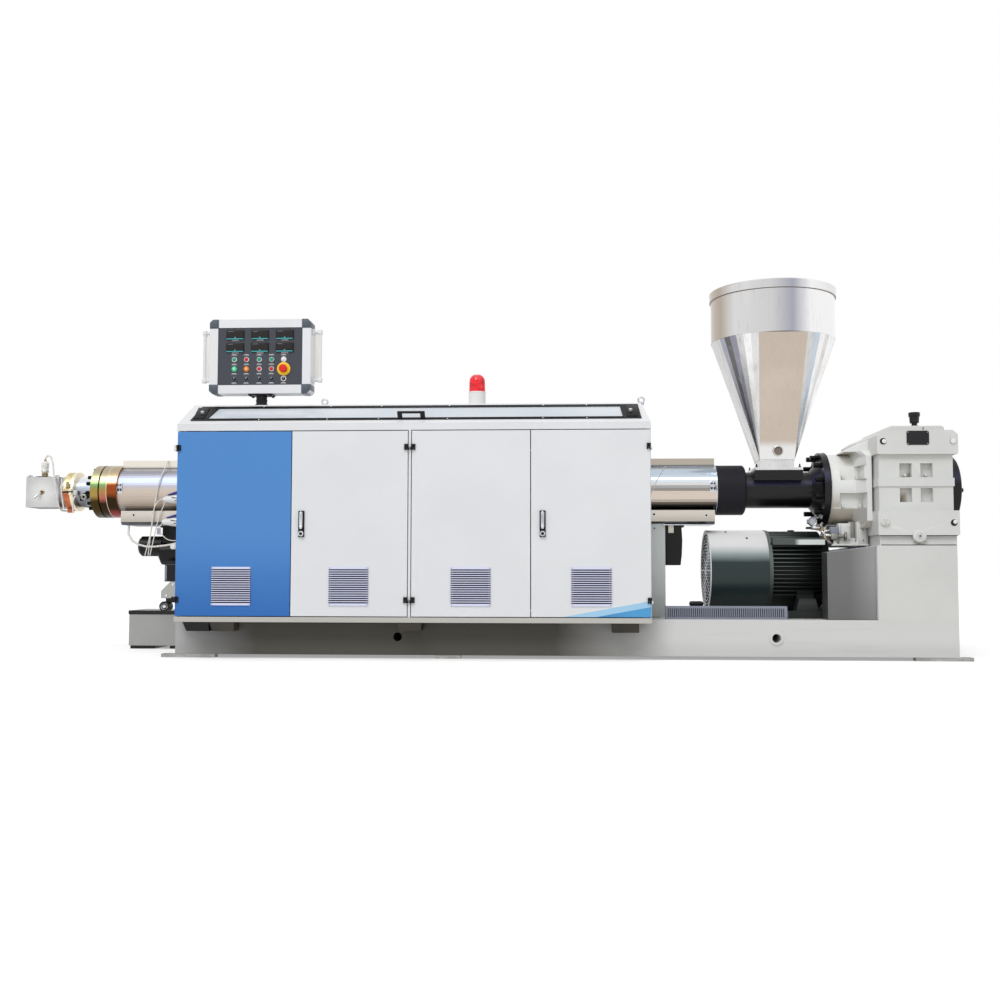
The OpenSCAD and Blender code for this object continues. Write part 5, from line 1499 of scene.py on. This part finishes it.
class EXTRUDER_OT_gearbox(bpy.types.Operator):
    """Paints the gearbox and adds its bolts, plates, plugs and oil fittings"""

    bl_idname = "extruder.gearbox"
    bl_label = "Dress gearbox"

    def execute(self, context):
        sizes = context.scene.extruder_sizes
        edge = sizes.edge * 1000
        dress("gearbox_housing", "gear_white", edge=edge, corners=plate_corners)
        dress("gearbox_bell", "bell_white", edge=edge * 1.4, segments=3, sharp=18, lean=bell_flare)
        dress("gearbox_covers", "gear_white", edge=edge * 2)
        dress("gearbox_end_cover", "cast_black", edge=2.0)
        dress("breather", "lid_black", edge=2.0)
        dress("gearbox_flange", "cast_black", "black_bolt", edge=1.2,
              choose=lambda spot, n: "black_bolt" if spot.x < 2010.5 else "cast_black")
        shape = Shape()
        r = sizes.flange_bolt * 1000
        turn = sizes.bolt_turn / 2
        while turn < 2 * math.pi:
            y, z = 198 * math.cos(turn), BARREL_Z + 198 * math.sin(turn)
            shape.socket_bolt((1999, y, z), (-1, 0, 0), r, 38)
            shape.turned((2011, y, z), (-1, 0, 0), [(0, r * 1.35), (3, r * 1.35), (12, r * 0.8)],
                         "black_bolt", 20)
            turn += sizes.bolt_turn
        shape.turned((2044, 0, BARREL_Z), (1, 0, 0), [(0, 224), (0, 227.5), (3, 227.5), (3, 224)],
                     "dark_gap", 96, True)
        shape.piece("flange_bolts")

        shape = Shape()
        for side in (1, -1):
            out = (0, -side, 0)
            for x, z, dx, dz in ((2298, 1251, 6, 1), (2692, 1251, 1, 1), (2687, 783, 7, 5)):
                # Each plug hole: a dark disc as painted shade under an offset white disc as painted light
                # leaves a dark crescent at one side.
                shape.turned((x, -side * 419.5, z), out,
                             [(0.6, 25), (1.6, 23), (1.4, 19.5), (-2, 19), (-2, 0)], "gear_white", 36)
                shape.turned((x, -side * 420, z), out, [(0.6, 18.5), (0.8, 0)], "dark_gap", 32)
                shape.turned((x + dx, -side * 420.5, z + dz), out,
                             [(0.4, 18.5 - abs(dx)), (1, 17.5 - abs(dx)), (1.1, 0)], "white_plastic", 32)
            shape.turned((2300, -side * 428, 789), out,
                         [(0, 24), (3, 24), (4, 22), (4, 15), (2, 14), (2, 0)], "gear_white", 32)
            shape.sweep([(2300, -side * 430, 806), (2300, -side * 438, 800), (2300, -side * 441, 788),
                         (2300, -side * 437, 776), (2300, -side * 431, 774)], 3.2, "gear_white", 10, 6)
            shape.turned((2492, -side * 424, 707), out,
                         [(0, 36), (4, 36), (6, 33), (6, 17), (4, 16), (4, 0)], "gear_white", 40)
            shape.turned((2492, -side * 428, 707), out, [(0, 13.5), (5, 13), (6, 11), (6, 6), (2, 5.5),
                                                        (2, 0)], "galvanised", 24)
            shape.turned((2492, -side * 430.2, 707), out, [(0, 5.4), (0.6, 0)], "dark_gap", 6)
            y = sorted((-side * 419.5, -side * 422.5))
            shape.plate([(2437, 1229), (2550, 1229), (2557, 1236), (2557, 1304), (2550, 1311),
                         (2437, 1311), (2430, 1304), (2430, 1236)], "XZ", *y, "bare_plate", 0.8)
            for x in (2438, 2549):
                for z in (1237, 1303):
                    shape.cross_screw((x, -side * 422.3, z), out, 2.6, "galvanised")
            for x in (2400, 2518):
                shape.turned((x + 31, -side * 361, 1059), out,
                             [(0, 10), (14, 10), (18, 7), (19, 0)], "gear_white", 24)
            # Dark strips under the housing's lower plate and along its foot are painted shadow lines.
            y = sorted((-side * 399, -side * 421))
            shape.block((2276, y[0], 708), (2707, y[1], 711.5), "dark_gap", 0.6)
            y = sorted((-side * 396, -side * 402))
            shape.block((2282, y[0], 653.2), (2704, y[1], 659), "dark_gap", 0.6)
            for x, w, z in ((2108, 112, 1046), (2103, 132, 879)):
                y = sorted((-side * 181, -side * 205))
                for dx in (8, w - 26):
                    shape.block((x + dx, y[0], z + 2), (x + dx + 14, y[1], z + 26), "gear_white", 3)
        shape.turned((2530, -240, 1356), (0, 0, 1), [(0, 26), (6, 26), (7, 20)], "black_bolt", 6)
        shape.turned((2531, -240, 1440), (0, 0, 1), [(-3, 33), (0, 31), (0, 0)], "black_plastic", 36)
        shape.piece("gearbox_fittings")

        # Cast feet under the bell, with the oil valve, its wheel and pipe fittings in front.
        shape = Shape()
        for side in (1, -1):
            y = sorted((-side * 120, -side * 186))
            deep = sorted((-side * 120, -side * 150))
            shape.plate([(2092, 656), (2100, 700), (2092, 790), (2164, 790), (2164, 684), (2200, 676),
                         (2200, 800), (2266, 800), (2266, 656), (2240, 653.4), (2100, 653.4)],
                        "XZ", *y, "gear_white", 4)
            shape.block((2160, deep[0], 700), (2204, deep[1], 800), "grey_casting", 2)
            shape.block((2170, deep[0] - 12, 668), (2196, deep[1] + 12, 704), "gear_white", 3)
            y = sorted((-side * 150, -side * 200))
            shape.block((2104, y[0], 690), (2158, y[1], 780), "gear_white", 8, 3)
            shape.block((2208, y[0], 664), (2256, y[1], 770), "gear_white", 8, 3)
            for z in (690, 752):
                shape.socket_bolt((2232, -side * 200, z), (0, -side, 0), 7, 6, "gear_white")
            y = sorted((-side * 180, -side * 205))
            shape.block((2046, y[0], 653.4), (2264, y[1], 668), "gear_white", 5, 3)
            # Dark strips where the feet meet the pedestal are painted shadow.
            shape.block((2090, y[0] - 1, 653), (2146, y[1] + 1, 656), "dark_gap", 0.8)
            shape.block((2200, y[0] - 1, 653), (2262, y[1] + 1, 656), "dark_gap", 0.8)
        # The square post, the tee with its stem and wheel, and the elbow fittings.
        shape.block((2040, -214, 726), (2086, -176, 768), "duct_grey", 4, 3)
        shape.block((2042, -216, 690), (2086, -178, 730), "grey_casting", 8, 3)
        shape.turned((2084, -198, 712), (1, 0, 0), [(0, 15), (6, 15), (8, 11), (36, 11), (38, 14)],
                     "grey_casting", 20)
        shape.turned((2122, -198, 712), (1, 0, -0.1), [(0, 15), (1, 25), (6, 27), (11, 25), (12, 14), (9, 0)],
                     "grey_casting", 28)
        shape.block((2060, -196, 664), (2080, -180, 692), "handle_beige", 3)
        shape.block((2042, -194, 660), (2058, -176, 692), "dark_gap", 3)
        for x, z, r, way in ((1992, 752, 14, (0.3, -0.2, 0.9)), (2004, 730, 15, (0.6, -0.4, -0.6)),
                             (2022, 742, 13, (0.9, -0.3, 0.2)), (2012, 704, 14, (0.4, -0.3, -0.9)),
                             (2030, 716, 15, (1.0, -0.3, -0.1)), (1990, 716, 9, (-0.2, -0.9, -0.3))):
            shape.turned((x, -196, z), way, [(-12, r * 0.6), (-10, r), (6, r), (8, r * 0.7), (16, r * 0.7),
                                             (17, r * 0.4)], "bronze" if r == 14 else "grey_casting", 8)
            shape.turned((x, -204, z), way, [(-16, r * 0.5), (-14, r * 0.72), (-10, r * 0.72)], "chrome", 14)
        shape.sweep([(1992, -196, 764), (1990, -192, 778), (1998, -186, 790)], 9, "grey_casting", 12, 5)
        shape.sweep([(2024, -198, 690), (2036, -198, 674), (2052, -192, 664)], 11, "grey_casting", 12, 5)
        shape.block((1940, -200, 752), (1986, -150, 764), "grey_casting", 2)
        # Round sight glass behind the lower flange bolts.
        shape.turned((1945, -168, 800), (0.15, -1, 0.1),
                     [(-6, 20), (6, 20), (8, 25), (4, 28), (-4, 28), (-6, 25)], "chrome", 32, True)
        shape.turned((1945, -168, 800), (0.15, -1, 0.1), [(-3, 20), (3, 19), (3, 0)], "galvanised", 32)
        shape.block((1908, -178, 756), (1938, -150, 770), "motor_green", 3)
        shape.block((1938, -176, 756), (1948, -152, 772), "galvanised", 2)
        shape.sweep([(1945, -168, 776), (1940, -166, 764), (1960, -170, 756), (1990, -176, 752)], 6,
                    "grey_casting", 10, 5)
        shape.piece("oil_fittings")
        return {"FINISHED"}


class EXTRUDER_OT_motor(bpy.types.Operator):
    """Paints the drive motor and its cowl, with screws, eye and terminal box strip"""

    bl_idname = "extruder.motor"
    bl_label = "Dress motor"

    def execute(self, context):
        dress("motor_body", "motor_green", "strip_grey", edge=0.0,
              choose=lambda spot, n: "strip_grey" if 661 < spot.z < 704 and spot.y < -200
              and (abs(n.y) > 0.7 or n.z > 0.7) and 1699 < spot.x < 2002 else "motor_green")
        dress("motor_cowl", "cowl_paint", "punched_sheet", edge=1.0,
              choose=lambda spot, n: "punched_sheet" if n.x < -0.9 and spot.x < 1341 else "cowl_paint")
        shape = Shape()
        for x, degrees in ((1445, 71), (1560, 52), (1445, 109), (1560, 128)):
            a = math.radians(degrees)
            out = (0, -math.cos(a), math.sin(a))
            at = (x, out[1] * 243.5, MOTOR_Z + out[2] * 243.5)
            shape.turned(at, out, [(0, 6.5), (3, 6.5), (4, 5), (4.5, 0)], "black_bolt", 16)
        shape.turned((1681, 0, MOTOR_Z), (1, 0, 0),
                     [(-2, 243), (-2, 246.5), (2, 246.5), (2, 243)], "motor_green", 96, True)
        shape.turned((1334, 0, MOTOR_Z), (1, 0, 0),
                     [(-1, 236), (-1, 245.5), (4, 245.5), (4, 236)], "strip_grey", 96, True)
        for x in (1716, 1984):
            for side in (-1, 1):
                shape.hex_bolt((x, side * 163, MOTOR_Z + 163), (0, side * 0.7, 0.7), 8, 8, "black_bolt")
        shape.turned((1850, 0, MOTOR_Z + 236), (0, 0, 1), [(0, 20), (8, 20), (10, 14)],
                     "motor_green", 24)
        for x in (1858, 1926):
            for side in (-1, 1):
                shape.hex_bolt((x, side * 215, 274), (0, 0, 1), 12, 12, "black_bolt")
        shape.piece("motor_fittings")
        return {"FINISHED"}


def folded_cone(top, foot, radius, half, wall):
    """A round-to-square sheet cone: flat front and back, and folds that meet at the neck's corners."""
    part = bmesh.new()
    fold = radius * math.sin(math.radians(22.5))
    flat = radius * math.cos(math.radians(22.5))

    def level(rim, at_top, inset):
        """The ring's places at the rim or the neck, on the outer or the inner wall."""
        for spot in rim:
            if at_top:
                y = max(-flat, min(flat, spot.y))
                yield (spot.x * (1 - inset / radius), y * (1 - inset / radius), top)
            else:
                yield (max(-1, min(1, spot.x / fold)) * (half - inset),
                       max(-1, min(1, spot.y / fold)) * (half - inset), foot)

    rims, feet = [], []
    for inset in (0, wall):
        ring = bmesh.ops.create_circle(part, cap_ends=False, radius=radius, segments=48)["verts"]
        rim = [vert.co.copy() for vert in ring]
        edges = list({edge for vert in ring for edge in vert.link_edges})
        for vert, spot in zip(ring, list(level(rim, True, inset))):
            vert.co = spot
        grown = bmesh.ops.extrude_edge_only(part, edges=edges)["geom"]
        fresh = [item for item in grown if isinstance(item, bmesh.types.BMVert)]
        lower = [min(fresh, key=lambda item: (item.co - vert.co).length) for vert in ring]
        for vert, spot in zip(lower, list(level(rim, False, inset))):
            vert.co = spot
        rims += edges
        feet += [item for item in grown if isinstance(item, bmesh.types.BMEdge)
                 and all(vert in fresh for vert in item.verts)]
    bmesh.ops.bridge_loops(part, edges=rims)
    bmesh.ops.bridge_loops(part, edges=feet)
    bmesh.ops.remove_doubles(part, verts=part.verts, dist=0.01)
    return part


class EXTRUDER_OT_hopper(bpy.types.Operator):
    """Folds and polishes the hopper, with its sight glass, lid bead and flange bolts"""

    bl_idname = "extruder.hopper"
    bl_label = "Dress hopper"

    def execute(self, context):
        dress("hopper_base", "neck_steel", edge=1.2)
        x = HOPPER_X
        shape = Shape()
        shape.take(folded_cone(1910, 1180.3, 372.6, 104, 4), "cone_steel",
                   Matrix.Translation((x, 0, 0)))
        shape.turned((x, 0, 1909.5), (0, 0, 1), [(0, 373), (263, 373), (263, 369), (0, 369)],
                     "drum_steel", 128, closed=True)
        shape.turned((x, -118, 1228), (0, -1, 0),
                     [(-4, 31), (18, 31), (20, 29), (20, 26), (18, 25), (-4, 25)], "neck_steel", 40, True)
        shape.turned((x, -128, 1228), (0, -1, 0), [(0, 25), (2, 0)], "sight_brown", 32)
        shape.piece("hopper_body", replaced=("hopper",), sharp=5)

        dress("hopper_lid", "lid_steel", edge=3.0, segments=3)
        shape = Shape()
        shape.turned((x, 0, 1910), (0, 0, 1), [(-2, 372), (-1.5, 373.8), (1.5, 373.8), (2, 372)],
                     "drum_steel", 128)
        shape.turned((x, 0, 2166), (0, 0, 1), [(-1, 373), (0, 379), (1.6, 381.4), (2.6, 381)],
                     "sight_brown", 128)
        shape.turned((x, 0, 2214), (0, 0, 1), [(0, 381), (3, 382.4), (6, 380)], "lid_steel", 128)
        for sx in (-1, 1):
            for sy in (-1, 1):
                shape.hex_bolt((x + sx * 128, sy * 128, 1129), (0, 0, 1), 7, 8, "black_bolt")
                shape.turned((x + sx * 128, sy * 128, 1136), (0, 0, 1), [(0, 4.2), (14, 4.2), (15, 0)],
                             "black_bolt", 12)
        for side in (-1, 1):
            y = sorted((side * 100, side * 102))
            shape.block((x - 104, y[0], 1172), (x + 104, y[1], 1180), "neck_steel", 0.8)
        shape.piece("hopper_trim")
        return {"FINISHED"}


class EXTRUDER_PT_sidebar(bpy.types.Panel):
    """Lists the steps that dress the extruder"""

    bl_idname = "EXTRUDER_PT_sidebar"
    bl_label = "Plastic extruder"
    bl_space_type = "VIEW_3D"
    bl_region_type = "UI"
    bl_category = "Extruder"

    def draw(self, context):
        layout = self.layout
        for group in ("extruder_colours", "extruder_sizes", "extruder_stage"):
            values = getattr(context.scene, group)
            box = layout.box()
            for key in values.bl_rna.properties.keys():
                if key not in ("rna_type", "name"):
                    box.prop(values, key)
        for step in STEPS:
            layout.operator(step.bl_idname)


STEPS = (
    EXTRUDER_OT_finishes, EXTRUDER_OT_stage, EXTRUDER_OT_base, EXTRUDER_OT_cabinet,
    EXTRUDER_OT_doors, EXTRUDER_OT_panel, EXTRUDER_OT_barrel, EXTRUDER_OT_head,
    EXTRUDER_OT_wiring, EXTRUDER_OT_gearbox, EXTRUDER_OT_motor, EXTRUDER_OT_hopper,
)
GROUPS = {"extruder_colours": ExtruderColours, "extruder_sizes": ExtruderSizes,
          "extruder_stage": ExtruderStage}


def register():
    for group in GROUPS.values():
        bpy.utils.register_class(group)
    for name, group in GROUPS.items():
        setattr(bpy.types.Scene, name, bpy.props.PointerProperty(type=group))
    for step in STEPS:
        bpy.utils.register_class(step)
    bpy.utils.register_class(EXTRUDER_PT_sidebar)


def unregister():
    bpy.utils.unregister_class(EXTRUDER_PT_sidebar)
    for step in reversed(STEPS):
        bpy.utils.unregister_class(step)
    for name, group in GROUPS.items():
        delattr(bpy.types.Scene, name)
        bpy.utils.unregister_class(group)


def main():
    register()
    for step in STEPS:
        group, name = step.bl_idname.split(".")
        getattr(getattr(bpy.ops, group), name)()


if __name__ == "__main__":
    main()
